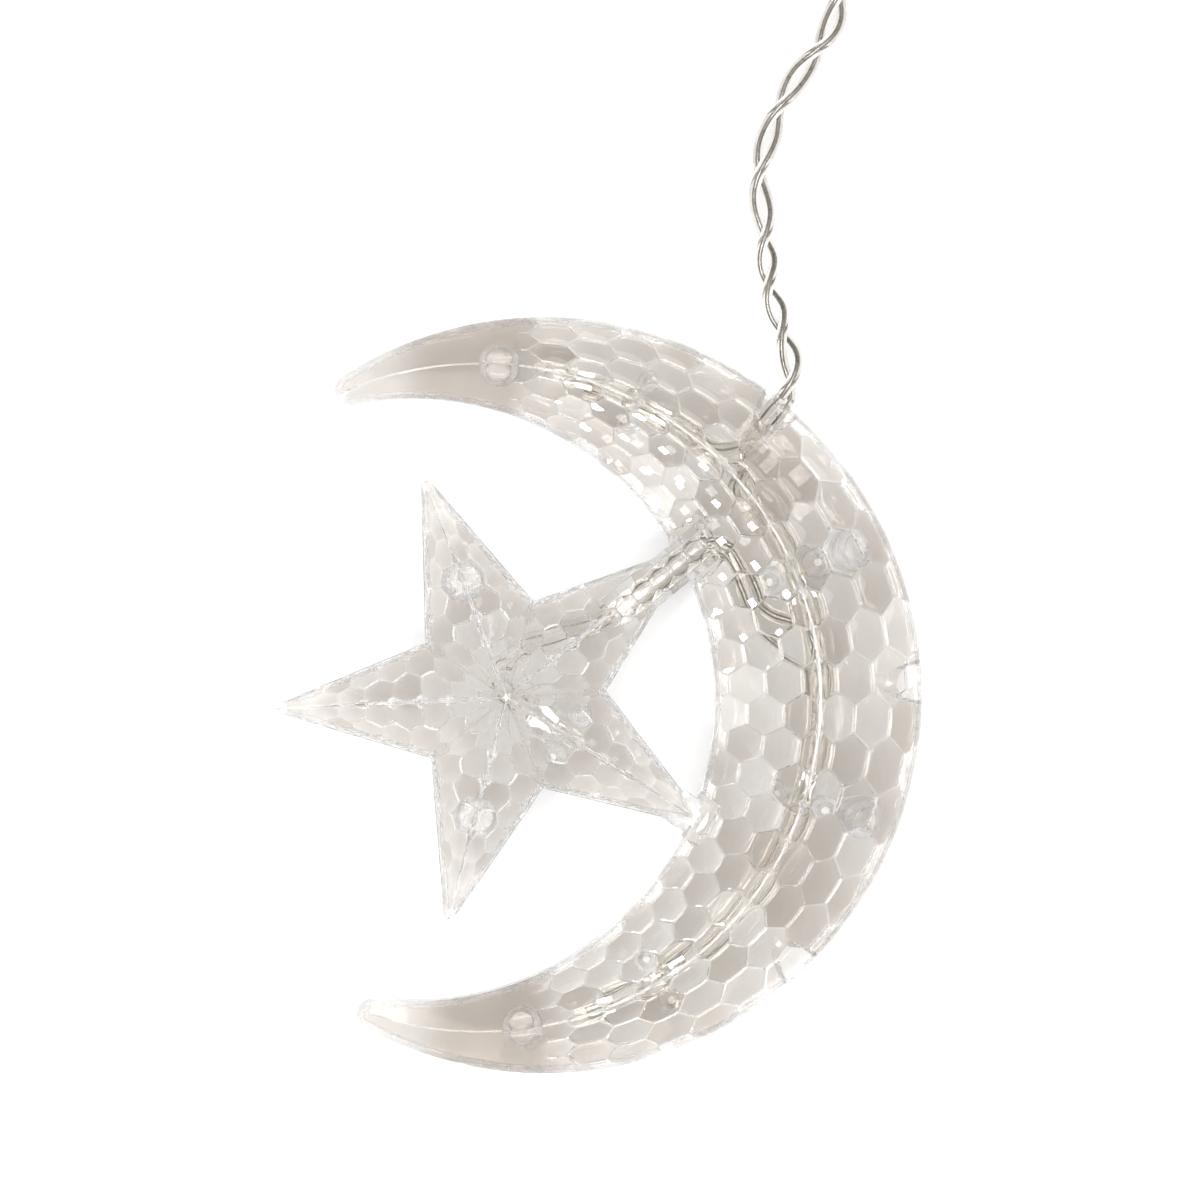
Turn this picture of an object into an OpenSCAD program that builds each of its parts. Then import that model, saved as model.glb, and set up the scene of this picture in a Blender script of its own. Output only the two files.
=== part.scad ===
// Clear moon and star pendant of a string light: two moulded halves over a small harness of
// lamps, with its twisted lead laid out, coiled and tied, and a plug on the far end.
// The pendant lies on its back: X runs along the moon's axis, Z up out of the front half.

/* [Moon] */
// Diameter of the moon's outer edge
moon_d = 120; // [119:0.5:121]
// Diameter of the moon's inner edge
bite_d = 95.8; // [95:0.1:96.4]
// Distance between the centres of the outer and inner edges
bite_shift = 21; // [20.6:0.1:21.4]
// Half width of the moon where each horn is rounded off
horn_r = 2.4; // [2.2:0.1:2.6]

/* [Star] */
// Distance from the star's centre to its rounded tips
star_r = 36.6; // [36.2:0.1:37]
// Distance from the star's centre to its inner corners
star_waist = 15.6; // [15.2:0.1:16]
// Rounding of the star's tips
star_tip_r = 1; // [0.8:0.1:1.2]
// How far the star's centre lies behind the moon's centre
star_shift = 5.9; // [5.5:0.1:6.3]
// Turn of the star from standing square to the moon's axis
star_turn = 1; // [0:0.5:2]

/* [Halves] */
// Wall thickness of both halves
wall = 1.2; // [1.1:0.1:1.3]
// Height of the upright rim of each half
rim_h = 2; // [1.9:0.1:2.2]
// Depth of each half under its sharp ridge
half_depth = 9; // [8.8:0.1:9.2]
// Height taken off the ridge and the star's apex so that the pendant lies steady
land = 0.15; // [0.1:0.05:0.2]
// Radius of the half-round wire outlets in the front rim
outlet_r = 3.5; // [3.4:0.1:3.6]
// Angle of the upper and lower outlets from the moon's axis
outlet_a = 49; // [47:1:51]

/* [Bridge and nose] */
// Width of the wire bridge from the star to the moon
bridge_w = 6.5; // [6.2:0.1:7]
// Height of the flat bridge roof over the parting face
bridge_h = 4.2; // [4:0.1:4.4]
// Distance from the star's centre to where the arm's ridge stops for the bridge
bridge_from = 21.3; // [20.5:0.1:22]
// Sideways shift of the bridge from the arm's centre line
bridge_side = -0.7; // [-0.9:0.1:-0.5]
// Radius of the round nose that joins the lower arm to the moon
nose_r = 2.8; // [2.6:0.1:3]
// Height of the nose over the parting face
nose_h = 3.2; // [3:0.1:3.4]

/* [Pegs and posts] */
// Radius of the pegs that hold the front half on the back half
peg_r = 2; // [1.8:0.1:2.1]
// Length of a peg below the parting face
peg_l = 2.6; // [2.4:0.1:2.7]
// Running clearance of a peg in its socket
peg_gap = 0.05; // [0.03:0.01:0.08]
// Outer radius of the bosses behind pegs and round sockets
boss_r = 3.2; // [3:0.1:3.4]
// Radius of the posts beside a lamp
post_r = 1.85; // [1.7:0.05:1.9]
// Distance from a lamp's axis to its posts
post_off = 3.7; // [3.65:0.05:3.8]
// Height of the posts over the parting face
post_h = 2.2; // [1.8:0.1:2.4]

/* [Lamps] */
// Radius of a lamp's lens
lens_r = 1.5; // [1.4:0.05:1.5]
// Length of a lamp's lens
lens_l = 5.3; // [5:0.1:5.4]
// Half of the distance between a lamp's two legs
leg_off = 1.05; // [1.04:0.01:1.06]
// Thickness of a lamp's legs
leg_w = 0.5; // [0.4:0.05:0.5]

/* [Wires] */
// Outer diameter of the wires inside the pendant
wire_d = 1.5; // [1.4:0.05:1.5]
// Outer diameter of one strand of the lead
strand_d = 1.7; // [1.6:0.05:1.7]
// Outer width of the twisted lead
lead_d = 4.2; // [4.1:0.05:4.2]

/* [Coil and plug] */
// Turns in the coil, whole turns and a quarter
coil_turns = 3.25; // [3.25:1:3.25]
// Radius of the coil's outer turns
coil_r = 25.5; // [25:0.5:26]
// Gap between neighbouring turns
coil_gap = 0.45; // [0.45:0.05:0.6]
// Radius of the plug's coupling collar
collar_r = 6; // [5.9:0.1:6]
// Radius of the plug's two contact pins
pin_r = 0.75; // [0.7:0.05:0.8]
// Length of the contact pins that stands free
pin_l = 6; // [5.5:0.5:6]
// Distance between the contact pins
pin_pitch = 3; // [2.8:0.1:3]

/* [Hidden] */
$fn = 96;
LAMPS = 7;

// Colours of the pieces
CLEAR = [0.88, 0.86, 0.83, 0.45];
EPOXY = [0.93, 0.93, 0.9, 0.6];
PHOSPHOR = [0.93, 0.78, 0.35];
METAL = [0.72, 0.72, 0.72];
WIRE = [0.78, 0.77, 0.74];
TIE = [0.95, 0.95, 0.94];
BRASS = [0.8, 0.66, 0.36];
SEAL = [0.25, 0.25, 0.26];
PLUG = [0.86, 0.86, 0.84];

function unit(v) = v/norm(v);

// The moon: an outward roof about its own centre and one about the centre of its bite. They
// meet in a ridge whose plan is an ellipse with those two centres as its foci.
moon_r = moon_d/2;
bite_r = bite_d/2;
moon_x = (star_shift + star_r - moon_r)/2;
bite_x = moon_x - bite_shift;
star_x = moon_x - star_shift;
ridge_a = (moon_r + bite_r)/2;
ridge_c = bite_shift/2;
ridge_b = sqrt(ridge_a*ridge_a - ridge_c*ridge_c);
ridge_x = moon_x - ridge_c;
slope = (half_depth - rim_h)/(moon_r - ridge_a + ridge_c);
roof_h = half_depth - rim_h + 0.5;
part_z = half_depth - land;
slack = 1;

// Places along the ridge: an angle, a distance to its outer side and a height over the parting face
function ridge_p(t) = [ridge_x + ridge_a*cos(t), ridge_b*sin(t)];
function ridge_n(t) = unit([ridge_b*cos(t), ridge_a*sin(t)]);
function ridge_dir(t) = let (n = ridge_n(t)) atan2(n.x, -n.y);
function ridge_pt(q) = concat(ridge_p(q[0]) + q[1]*ridge_n(q[0]), [part_z + q[2]]);

// The horn's round end and the piece cut off beyond it
horn_t = acos((horn_r - moon_r + ridge_a)/ridge_c);
horn_p = ridge_p(horn_t);
horn_out = horn_p + horn_r*unit(horn_p - [moon_x, 0]);
horn_in = horn_p - horn_r*unit(horn_p - [bite_x, 0]);
horn_across = unit(horn_out - horn_in);
horn_on = [-horn_across.y, horn_across.x];
horn_far = 30;
// The round end is this much slimmer than the horn, so that their faces cross nowhere
horn_step = 0.04;
horn_cut = [horn_out + 5*horn_across, horn_out + 5*horn_across + horn_far*horn_on,
            horn_in - 5*horn_across + horn_far*horn_on, horn_in - 5*horn_across];

// The star: arm 0 carries the bridge, arm 4 the nose
function arm_a(i) = 36 + 72*i + star_turn;
function arm_p(i, s, side = 0) = [star_x, 0] + s*[cos(arm_a(i)), sin(arm_a(i))]
    + side*[-sin(arm_a(i)), cos(arm_a(i))];
waist_x = star_waist*cos(36);
waist_y = star_waist*sin(36);
// Half the angle of a tip, found by closing in on the sharp tip that its rounding came from
function tip_half(n) = n == 0 ? 20
    : atan2(waist_y, star_r + star_tip_r*(1/sin(tip_half(n - 1)) - 1) - waist_x);
tip_a = tip_half(12);
star_sharp = star_r + star_tip_r*(1/sin(tip_a) - 1);
star_edge = star_sharp*sin(tip_a);
star_slope = (half_depth - rim_h)/star_edge;
function spin(p, a, z) = [p.x*cos(a) - p.y*sin(a), p.x*sin(a) + p.y*cos(a), z];
tip_centre = star_r - star_tip_r;
tip_steps = 8;
// Height of the roof over a place near the tip of an arm that lies along X
function tip_roof(p) = rim_h + star_slope*((star_sharp - p.x)*sin(tip_a) - abs(p.y)*cos(tip_a));
star_eaves = [for (i = [0:4]) each concat(
    [for (j = [0:tip_steps])
        let (f = (90 - tip_a)*(2*j/tip_steps - 1),
             p = [tip_centre + star_tip_r*cos(f), star_tip_r*sin(f)])
        spin(p, 72*i, tip_roof(p))],
    [spin([waist_x, waist_y], 72*i, rim_h)])];
function sharp_eaves(k, z) = [for (i = [0:4])
    each [spin([k*star_sharp, 0], 72*i, z), spin(k*[waist_x, waist_y], 72*i, z)]];
bridge_to = 42;
nose_from = 31;
nose_s = 34.6;

// Lamps along the ridge: angle, and the way that the lens points. The last lamp is in the star.
ridge_lamps = [[74, 1], [60, 1], [20, 1], [-20, -1], [-60, -1], [-74, -1]];
posted_lamps = [2, 3, 4, 5, 7];
star_lamp_s = 11.2;
lamp_back = -lens_l/2;
leg_back = 2.5;
star_leg_back = 3.25;
flange_r = 1.7;
flange_h = 0.8;
pocket_r = 1.25;
pocket_h = 2.8;
cup_r = 0.65;
cup_h = 1.8;
phosphor_r = 0.5;
phosphor_h = 0.35;

// Pegs: two on the horns, two inside the outer rim and two in the star's arms
horn_peg_t = 84.5;
rim_peg_a = 23.3;
rim_peg_r = 54;
star_peg_s = 19.5;
peg_p = concat(
    [for (s = [-1, 1]) ridge_p(s*horn_peg_t)],
    [for (s = [-1, 1]) [moon_x, 0] + rim_peg_r*[cos(s*rim_peg_a), sin(s*rim_peg_a)]],
    [for (i = [1, 3]) arm_p(i, star_peg_s)]);
socket_l = peg_l + 0.15;
boss_lift = 0.3;

// Wires: the two buses lie under the lamps between their posts
wire_r = wire_d/2;
strand_r = strand_d/2;
bus_z = -2.7;
bus_end = 69.5;
bus_steps = 34;
tap_z = bus_z + wire_d + 0.05;
strand_tap_z = bus_z + wire_r + strand_r + 0.05;
leg_sink = 0.35;

// Star wires: in the moon by the ridge, then over the bridge by arm 0
star_moon_positive = [
    [5, leg_off, tap_z], [7.8, leg_off, tap_z], [9.2, 0.8, -1.05], [10.6, -0.6, -0.6],
    [12, -2.8, -0.3], [14, -5.3, -0.2], [16.5, -6.5, -0.1], [20, -6.6, 0], [23.5, -6.6, 0],
    [27, -6.6, 0], [30.4, -7, 0], [32.6, -8.4, 0]];
star_arm_positive = [
    [39, 0.2], [34, 0.2], [30, 0.2], [24, 0.2], [18, 1], [13, 3.2], [8, 4.8], [4, 5.4],
    [2, 5.2], [0, 3.8], [-1, 1.6], [-0.9, -0.7], [-0.2, -2.9], [0.5, -5.1]];
star_moon_negative = [
    [-1.6, -leg_off, tap_z], [1.4, -leg_off, tap_z], [2.8, -1.4, -1.1], [4.4, -2.8, -0.85],
    [6.5, -5, -0.5], [10, -7.4, -0.2], [15, -8.3, 0], [20, -8.4, 0], [23.5, -8.4, 0],
    [27.2, -8.5, 0], [29.6, -9.1, 0]];
star_arm_negative = [
    [38.5, -1.6], [34, -1.6], [30, -1.6], [24, -1.6], [18, -0.8], [13, 1.2], [8, 2.8],
    [4.7, 3.4], [3, 3.2], [1.9, 2.5], [1.2, 1.1], [1.3, -0.5], [1.9, -2.4], [2.6, -4.4]];

// Lead strands: through the outlet by its own axis, then to the buses by the ridge
strand_off = 1;
outlet_z = 2.15;
anchor_z = 0.4;
exit_r = moon_r + 0.6;
strand_outlet = [[exit_r, outlet_z], [58.4, 2.1], [56.2, anchor_z], [55, anchor_z], [53, anchor_z],
                 [51, anchor_z], [50, anchor_z]];
strand_ridge_positive = [[43.2, 2.7, 0.1], [44.4, 1.7, -0.5], [45.8, 1.15, -0.95],
                         [47.2, leg_off, strand_tap_z], [49.6, leg_off, strand_tap_z]];
strand_ridge_negative = [[39.5, 2.6, 0.2], [38.9, 1.2, -0.1], [38.2, -0.1, -0.5],
                         [37.2, -0.85, -0.9], [36, -leg_off, strand_tap_z],
                         [33.8, -leg_off, strand_tap_z]];
anchor_size = [3.8, 5.6, 4];
anchor_mid = 53;

// Splice sleeves on the buses: angle, side, height and bore of the wire that joins there
splices = [[6.4, 1, tap_z, wire_r], [0, -1, tap_z, wire_r],
           [48.2, 1, strand_tap_z, strand_r], [35, -1, strand_tap_z, strand_r]];
sleeve_r = 1.15;
sleeve_l = 3.6;
sleeve_gap = 0.08;
star_sleeve_r = 0.98;
star_sleeve_from = 3.6;
star_sleeve_l = 4;

// The lead's route from the outlet over the surface that the pendant lies on
lead_r = lead_d/2;
coil_c = [17.5, 142];
coil_z = lead_r + 0.6;
coil_step = lead_d + coil_gap;
coil_in = 5;
lead_route = [
    concat([moon_x, 0] + exit_r*[cos(outlet_a), sin(outlet_a)], [part_z + outlet_z]),
    [31.6, 47.1, 11], [32.1, 49.7, 10.8], [31.9, 53, 10], [31, 57, 8.6], [29.9, 61.5, 6.9], [29.2, 66, 5.2],
    [29.2, 70.5, 3.8], [29, 75, 2.8], [28.5, 79.5, 2.3], [28.8, 83.8, 2.2], [30.3, 88.4, 2.2],
    [32.2, 93, 2.2], [35, 97.4, 2.2], [38.4, 101.6, 2.2], [40.9, 105.8, 2.2], [42.3, 110.2, 2.2],
    [43, 115, 2.2], [43, 121, 2.4], [43, 127, 2.6], [43, 132, coil_z],
    [coil_c.x + coil_r, coil_c.y - coil_in, coil_z]];

// The coil spirals in on the surface, climbs in the half turn where it reverses and spirals out
coil_rings = 24;
coil_out = 20.5;
coil_half = coil_turns/2;
plug_z = collar_r + 0.1;
function ease(x) = let (k = min(1, max(0, x))) k*k*(3 - 2*k);
function coil_lift(u) = coil_z + coil_step*ease(2*(u - coil_half + 0.25));
function coil_radius(u) = coil_r - coil_step*(coil_half - abs(u - coil_half));
function coil_turn(u) = concat(coil_c + coil_radius(u)*[cos(360*u), sin(360*u)], [coil_lift(u)]);
coil_end = coil_turn(coil_turns);
function coil_run(s) = [coil_end.x - s, coil_end.y,
    coil_end.z + (plug_z - coil_end.z)*ease((s - 2)/(coil_out - 7))];
coil_pts = concat(
    [[coil_c.x + coil_r, coil_c.y - coil_in, coil_z], [coil_c.x + coil_r, coil_c.y - 2, coil_z]],
    [for (i = [0:coil_turns*coil_rings]) coil_turn(i/coil_rings)],
    [for (s = [3, 6, 9, 12, 16, coil_out]) coil_run(s)]);

// The least gap of the coil to itself, on points a quarter ring apart and over half a turn away
fine = 4*coil_rings;
fine_pts = [for (i = [0:coil_turns*fine]) coil_turn(i/fine)];
least_gap = min([for (i = [0:len(fine_pts) - 1], j = [i + fine/2:1:len(fine_pts) - 1])
    norm(fine_pts[i] - fine_pts[j])]) - lead_d;
echo(str("least gap of the coil to itself: ", least_gap, " mm"));

// The lead's length from the outlet to the plug
function run_length(p) = len(p) < 2 ? 0
    : [for (i = [1:len(p) - 1]) norm(p[i] - p[i - 1])]*[for (i = [1:len(p) - 1]) 1];
echo(str("length of the lead: ", run_length(smooth(lead_route, 4)) + run_length(coil_pts), " mm"));

// The tie round the coil where its turns lie two on two
tie_a = 45;
tie_w = 4;
tie_t = 0.5;
tie_play = 0.2;
tie_in = 2*lead_d + coil_gap + 2*tie_play;
tie_mid_r = coil_radius(tie_a/360) - coil_step/2;
tie_corner = 2;
tie_tail_r = 0.8;
tie_tail_l = 8;

// The plug, along its own axis from the cord's end
plug_p = [coil_end.x - coil_out, coil_end.y, plug_z];
boot_r = 2.4;
boot_top_r = 3.8;
boot_l = 16;
body_r = 4.6;
body_l = 11;
neck_r = 3.5;
neck_gap = 0.06;
lip_l = 3;
collar_play = 0.3;
flange_out_r = 4.2;
flange_l = 2;
nose_out_r = 3.2;
nose_l = 1.9;
collar_in_r = 5;
collar_over = 1.5;
seal_r = 0.7;
pin_sink = 5;
pin_root_r = pin_r + 0.2;
pin_gap = 0.02;
body_top = boot_l + body_l;
lip_top = body_top + collar_play + lip_l;
flange_top = lip_top + collar_play + flange_l;
nose_top = flange_top + nose_l;
collar_top = nose_top + pin_l + collar_over;

// A smooth curve through a list of points, with n steps from each to the next
function curve(a, b, c, d, k) = 0.5*(2*b + (c - a)*k + (2*a - 5*b + 4*c - d)*k*k
    + (3*b - a - 3*c + d)*k*k*k);
function smooth(p, n) = let (m = len(p) - 1) concat(
    [for (i = [0:m - 1], j = [0:n - 1])
        curve(i > 0 ? p[i - 1] : 2*p[0] - p[1], p[i], p[i + 1],
              i < m - 1 ? p[i + 2] : 2*p[m] - p[m - 1], j/n)],
    [p[m]]);

// A tube of n sides swept along points, with square ends
function heading(p, i) = unit(p[min(i + 1, len(p) - 1)] - p[max(i - 1, 0)]);
function ring(c, way, r, n) = let (u = unit(cross([0, 0, 1], way)), v = cross(way, u))
    [for (k = [0:n - 1]) c + r*(cos(360*k/n)*u + sin(360*k/n)*v)];
module tube(p, r, n) {
    m = len(p);
    polyhedron(
        points = concat([for (i = [0:m - 1]) each ring(p[i], heading(p, i), r, n)], [p[0], p[m - 1]]),
        faces = concat(
            [for (i = [0:m - 2], k = [0:n - 1]) let (a = i*n + k, b = i*n + (k + 1) % n)
                each [[a, a + n, b + n], [a, b + n, b]]],
            [for (k = [0:n - 1]) [m*n, k, (k + 1) % n]],
            [for (k = [0:n - 1]) [m*n + 1, (m - 1)*n + (k + 1) % n, (m - 1)*n + k]]));
}

// An upright rim with a cone above it that closes in or opens out
module funnel(r, rim, way, roof) {
    cylinder(r = r, h = rim, $fn = 240);
    translate([0, 0, rim]) cylinder(r1 = r, r2 = r + way*roof/slope, h = roof, $fn = 240);
}

// One half of the moon over the parting face, or with an inset the hollow in it
module moon_half(inset = 0) {
    low = inset > 0 ? -slack : 0;
    rim = rim_h + slope*inset - inset/cos(atan(slope)) - low;
    tip = horn_r - horn_step - inset;
    difference() {
        translate([moon_x, 0, low]) funnel(moon_r - inset, rim, -1, roof_h);
        translate([bite_x, 0, low - slack]) funnel(bite_r + inset, rim + slack, 1, roof_h + slack);
        for (side = [0, 1])
            mirror([0, side, 0])
                translate([0, 0, low - slack])
                    linear_extrude(half_depth + 4*slack) polygon(horn_cut);
    }
    for (side = [0, 1])
        mirror([0, side, 0])
            translate([horn_p.x, horn_p.y, low]) funnel(tip, rim, -1, 0.9*slope*tip);
}

module on_star() {
    translate([star_x, 0, 0]) rotate(arm_a(0)) children();
}

// Upright walls under the eaves and a roof over them that rises to the apex
module star_house(eaves, apex, low) {
    n = len(eaves);
    polyhedron(
        points = concat([for (p = eaves) [p.x, p.y, low]], eaves, [[0, 0, low], [0, 0, apex]]),
        faces = [for (i = [0:n - 1]) let (j = (i + 1) % n)
            each [[i, i + n, j + n], [i, j + n, j], [j + n, i + n, 2*n + 1], [i, j, 2*n]]]);
}

// One half of the star, or with an inset the hollow in it
module star_half(inset = 0) {
    k = (star_edge - inset)/star_edge;
    rim = rim_h + star_slope*inset - inset/cos(atan(star_slope));
    on_star() difference() {
        if (inset > 0) star_house(sharp_eaves(k, rim), rim + k*(half_depth - rim_h), -slack);
        else star_house(star_eaves, half_depth, 0);
        translate([bridge_from - inset, -15, bridge_h - inset]) cube([30, 30, half_depth]);
    }
}

module bridge_half(inset = 0) {
    low = inset > 0 ? -slack : 0;
    on_star() translate([bridge_from, bridge_side - bridge_w/2 + inset, low])
        cube([bridge_to - bridge_from, bridge_w - 2*inset, bridge_h - inset - low]);
}

module nose() {
    on_star() rotate(arm_a(4) - arm_a(0)) {
        translate([nose_from, -nose_r, 0]) cube([nose_s - nose_from, 2*nose_r, nose_h]);
        translate([nose_s, 0, 0]) cylinder(r = nose_r, h = nose_h);
    }
}

module outer_half() {
    difference() {
        union() {
            moon_half();
            star_half();
            bridge_half();
            nose();
        }
        translate([-moon_d, -moon_d, part_z]) cube([2*moon_d, 2*moon_d, half_depth]);
    }
}

module hollow_half() {
    moon_half(wall);
    star_half(wall);
    bridge_half(wall);
}

// Upright cylinders at a list of places
module columns(places, r, from, h) {
    for (p = places) translate([p.x, p.y, from]) cylinder(r = r, h = h);
}

// A lamp's own place: X along the lens, Z up, its middle at the origin
function lamp_p(k) = k < LAMPS ? ridge_p(ridge_lamps[k - 1][0]) : arm_p(4, star_lamp_s);
function lamp_dir(k) = k < LAMPS
    ? ridge_dir(ridge_lamps[k - 1][0]) + (ridge_lamps[k - 1][1] > 0 ? 0 : 180) : arm_a(4);
post_p = [for (k = posted_lamps, s = [-1, 1])
    lamp_p(k) + s*post_off*[-sin(lamp_dir(k)), cos(lamp_dir(k))]];
module at_lamp(k) {
    translate([lamp_p(k).x, lamp_p(k).y, part_z]) rotate(lamp_dir(k)) children();
}

// Front half: bosses end in pegs, and three outlets are cut in its rim
module front_shell() {
    color(CLEAR) translate([0, 0, part_z]) {
        difference() {
            outer_half();
            difference() {
                hollow_half();
                columns(peg_p, boss_r, boss_lift, half_depth);
            }
            for (a = [-outlet_a, 0, outlet_a])
                translate([moon_x, 0, 0]) rotate(a)
                    translate([moon_r - (outlet_r - rim_h)/slope, 0, 0])
                        rotate([0, 90, 0]) cylinder(r = outlet_r, h = half_depth);
        }
        columns(peg_p, peg_r, -peg_l, peg_l + 2*boss_lift + slack);
    }
}

// Back half: bosses hold the pegs, and posts stand beside the lamps
module back_shell() {
    color(CLEAR) translate([0, 0, part_z]) {
        mirror([0, 0, 1]) difference() {
            outer_half();
            difference() {
                hollow_half();
                columns(peg_p, boss_r, 0, half_depth);
                columns(post_p, post_r, -slack, half_depth);
            }
            columns(peg_p, peg_r + peg_gap, -slack, socket_l + slack);
        }
        columns(post_p, post_r, -slack, slack + post_h);
    }
}

module lamp_lens(k) {
    color(EPOXY) at_lamp(k) rotate([0, 90, 0]) translate([0, 0, lamp_back])
        difference() {
            union() {
                cylinder(r = lens_r, h = lens_l - lens_r, $fn = 48);
                translate([0, 0, lens_l - lens_r]) sphere(r = lens_r, $fn = 48);
                cylinder(r = flange_r, h = flange_h, $fn = 48);
            }
            translate([0, 0, -slack]) cylinder(r = pocket_r, h = pocket_h + slack, $fn = 48);
        }
}

// A lamp's metal frame: the cup and the post in the lens, and two legs to the wires
module lamp_frame(k) {
    back = k < LAMPS ? leg_back : star_leg_back;
    inner = leg_off - leg_w/2;
    color(METAL) at_lamp(k) translate([lamp_back, 0, 0]) {
        translate([-leg_w, 0, 0]) rotate([0, 90, 0]) cylinder(r = cup_r, h = cup_h + leg_w, $fn = 48);
        translate([-leg_w, inner + 0.05, -0.2]) cube([cup_h + leg_w, 0.25, 0.4]);
        translate([-leg_w, -inner, -leg_w/2]) cube([leg_w - 0.1, inner + 0.1, leg_w]);
        for (s = [-1, 1]) translate([0, s*leg_off, 0]) {
            translate([-back, -leg_w/2, -leg_w/2]) cube([back - 0.1, leg_w, leg_w]);
            if (k < LAMPS)
                translate([-back, -leg_w/2, bus_z + wire_r - leg_sink])
                    cube([leg_w, leg_w, leg_sink - bus_z - wire_r]);
        }
    }
}

module lamp_phosphors() {
    color(PHOSPHOR) for (k = [1:LAMPS])
        at_lamp(k) translate([lamp_back + cup_h, 0, 0]) rotate([0, 90, 0])
            cylinder(r = phosphor_r, h = phosphor_h, $fn = 32);
}

module bus_wire(side) {
    color(WIRE) tube([for (i = [0:bus_steps])
        ridge_pt([bus_end*(2*i/bus_steps - 1), side*leg_off, bus_z])], wire_r, 8);
}

module star_wire(in_moon, in_star) {
    color(WIRE) tube(smooth(concat(
        [for (q = in_moon) ridge_pt(q)],
        [for (q = in_star) concat(arm_p(0, q[0], q[1]), [part_z])]), 2), wire_r, 8);
}

module lead_strand(side, by_ridge) {
    color(WIRE) tube(smooth(concat(
        [for (q = strand_outlet) concat([moon_x, 0] + q[0]*[cos(outlet_a), sin(outlet_a)]
            + side*strand_off*[-sin(outlet_a), cos(outlet_a)], [part_z + q[1]])],
        [for (q = by_ridge) ridge_pt(q)]), 2), strand_r, 8);
}

// Sleeves that hold a joining wire on a bus, and one on each leg of the star's lamp
module splice_sleeves() {
    color(CLEAR) {
        for (q = splices) translate(ridge_pt([q[0], q[1]*leg_off, 0])) rotate(ridge_dir(q[0]))
            rotate([90, 0, 90]) linear_extrude(sleeve_l, center = true) difference() {
                union() {
                    translate([0, bus_z]) circle(sleeve_r, $fn = 48);
                    translate([0, q[2]]) circle(sleeve_r, $fn = 48);
                    translate([-sleeve_r, bus_z]) square([2*sleeve_r, q[2] - bus_z]);
                }
                translate([0, bus_z]) circle(wire_r + sleeve_gap, $fn = 48);
                translate([0, q[2]]) circle(q[3] + sleeve_gap, $fn = 48);
            }
        for (s = [-1, 1]) translate([arm_p(4, 0).x, arm_p(4, 0).y, part_z]) rotate(arm_a(4))
            translate([star_sleeve_from, s*leg_off, 0]) rotate([0, 90, 0])
                difference() {
                    cylinder(r = star_sleeve_r, h = star_sleeve_l, $fn = 48);
                    translate([0, 0, -slack])
                        cylinder(r = wire_r + 0.05, h = star_sleeve_l + 2*slack, $fn = 48);
                }
    }
}

// A clear block on both strands that can't pull through the outlet
module lead_anchor() {
    color(CLEAR) translate([moon_x, 0, part_z + anchor_z]) rotate(outlet_a)
        translate([anchor_mid, 0, 0]) difference() {
            cube(anchor_size, center = true);
            for (s = [-1, 1]) translate([-anchor_size.x, s*strand_off, 0]) rotate([0, 90, 0])
                cylinder(r = strand_r + 0.05, h = 2*anchor_size.x, $fn = 48);
        }
}

module lead_run() {
    color(WIRE) tube(smooth(lead_route, 3), lead_r, 8);
}

module lead_coil() {
    color(WIRE) tube(coil_pts, lead_r, 6);
}

module round_corners(size, r) {
    square([size, size - 2*r], center = true);
    square([size - 2*r, size], center = true);
    for (x = [-1, 1], y = [-1, 1])
        translate([x*(size/2 - r), y*(size/2 - r)]) circle(r, $fn = 48);
}

module coil_tie() {
    color(TIE) translate([coil_c.x, coil_c.y, tie_in/2 + tie_t]) rotate(tie_a)
        translate([tie_mid_r, 0, 0]) {
            rotate([90, 0, 0]) linear_extrude(tie_w, center = true) difference() {
                round_corners(tie_in + 2*tie_t, tie_corner + tie_t);
                round_corners(tie_in, tie_corner);
            }
            translate([tie_in/2 + tie_t/2, 0, 0]) rotate([0, 90, 0])
                cylinder(r = tie_tail_r, h = tie_tail_l, $fn = 32);
        }
}

module at_plug() {
    translate(plug_p) rotate([0, -90, 0]) children();
}

// Strain relief that tapers from the cord to the plug
module plug_boot() {
    color(PLUG) at_plug() cylinder(r1 = boot_r, r2 = boot_top_r, h = boot_l);
}

// Body, neck for the collar, flange that keeps the collar on, and nose with the contacts
module plug_body() {
    color(PLUG) at_plug() difference() {
        union() {
            translate([0, 0, boot_l]) cylinder(r = body_r, h = body_l);
            translate([0, 0, boot_l]) cylinder(r = neck_r, h = flange_top - boot_l);
            translate([0, 0, flange_top - flange_l]) cylinder(r = flange_out_r, h = flange_l);
            translate([0, 0, flange_top - flange_l]) cylinder(r = nose_out_r, h = flange_l + nose_l);
        }
        for (s = [-1, 1]) translate([0, s*pin_pitch/2, nose_top - pin_sink])
            cylinder(r = pin_root_r + pin_gap, h = pin_sink + slack, $fn = 48);
    }
}

module plug_contacts() {
    color(BRASS) at_plug() for (s = [-1, 1])
        translate([0, s*pin_pitch/2, nose_top - pin_sink]) {
            cylinder(r = pin_root_r, h = pin_sink, $fn = 48);
            cylinder(r = pin_r, h = pin_sink + pin_l, $fn = 48);
        }
}

module plug_seal() {
    color(SEAL) at_plug() translate([0, 0, flange_top + seal_r + 0.1])
        rotate_extrude() translate([nose_out_r + seal_r + 0.05, 0]) circle(seal_r, $fn = 32);
}

// Coupling collar: a lip that turns on the neck, and a cup round the contacts
module plug_collar() {
    color(PLUG) at_plug() translate([0, 0, body_top + collar_play]) difference() {
        cylinder(r = collar_r, h = collar_top - body_top - collar_play);
        translate([0, 0, -slack]) cylinder(r = neck_r + neck_gap, h = lip_l + 2*slack);
        translate([0, 0, lip_l]) cylinder(r = collar_in_r, h = collar_top);
    }
}

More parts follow.
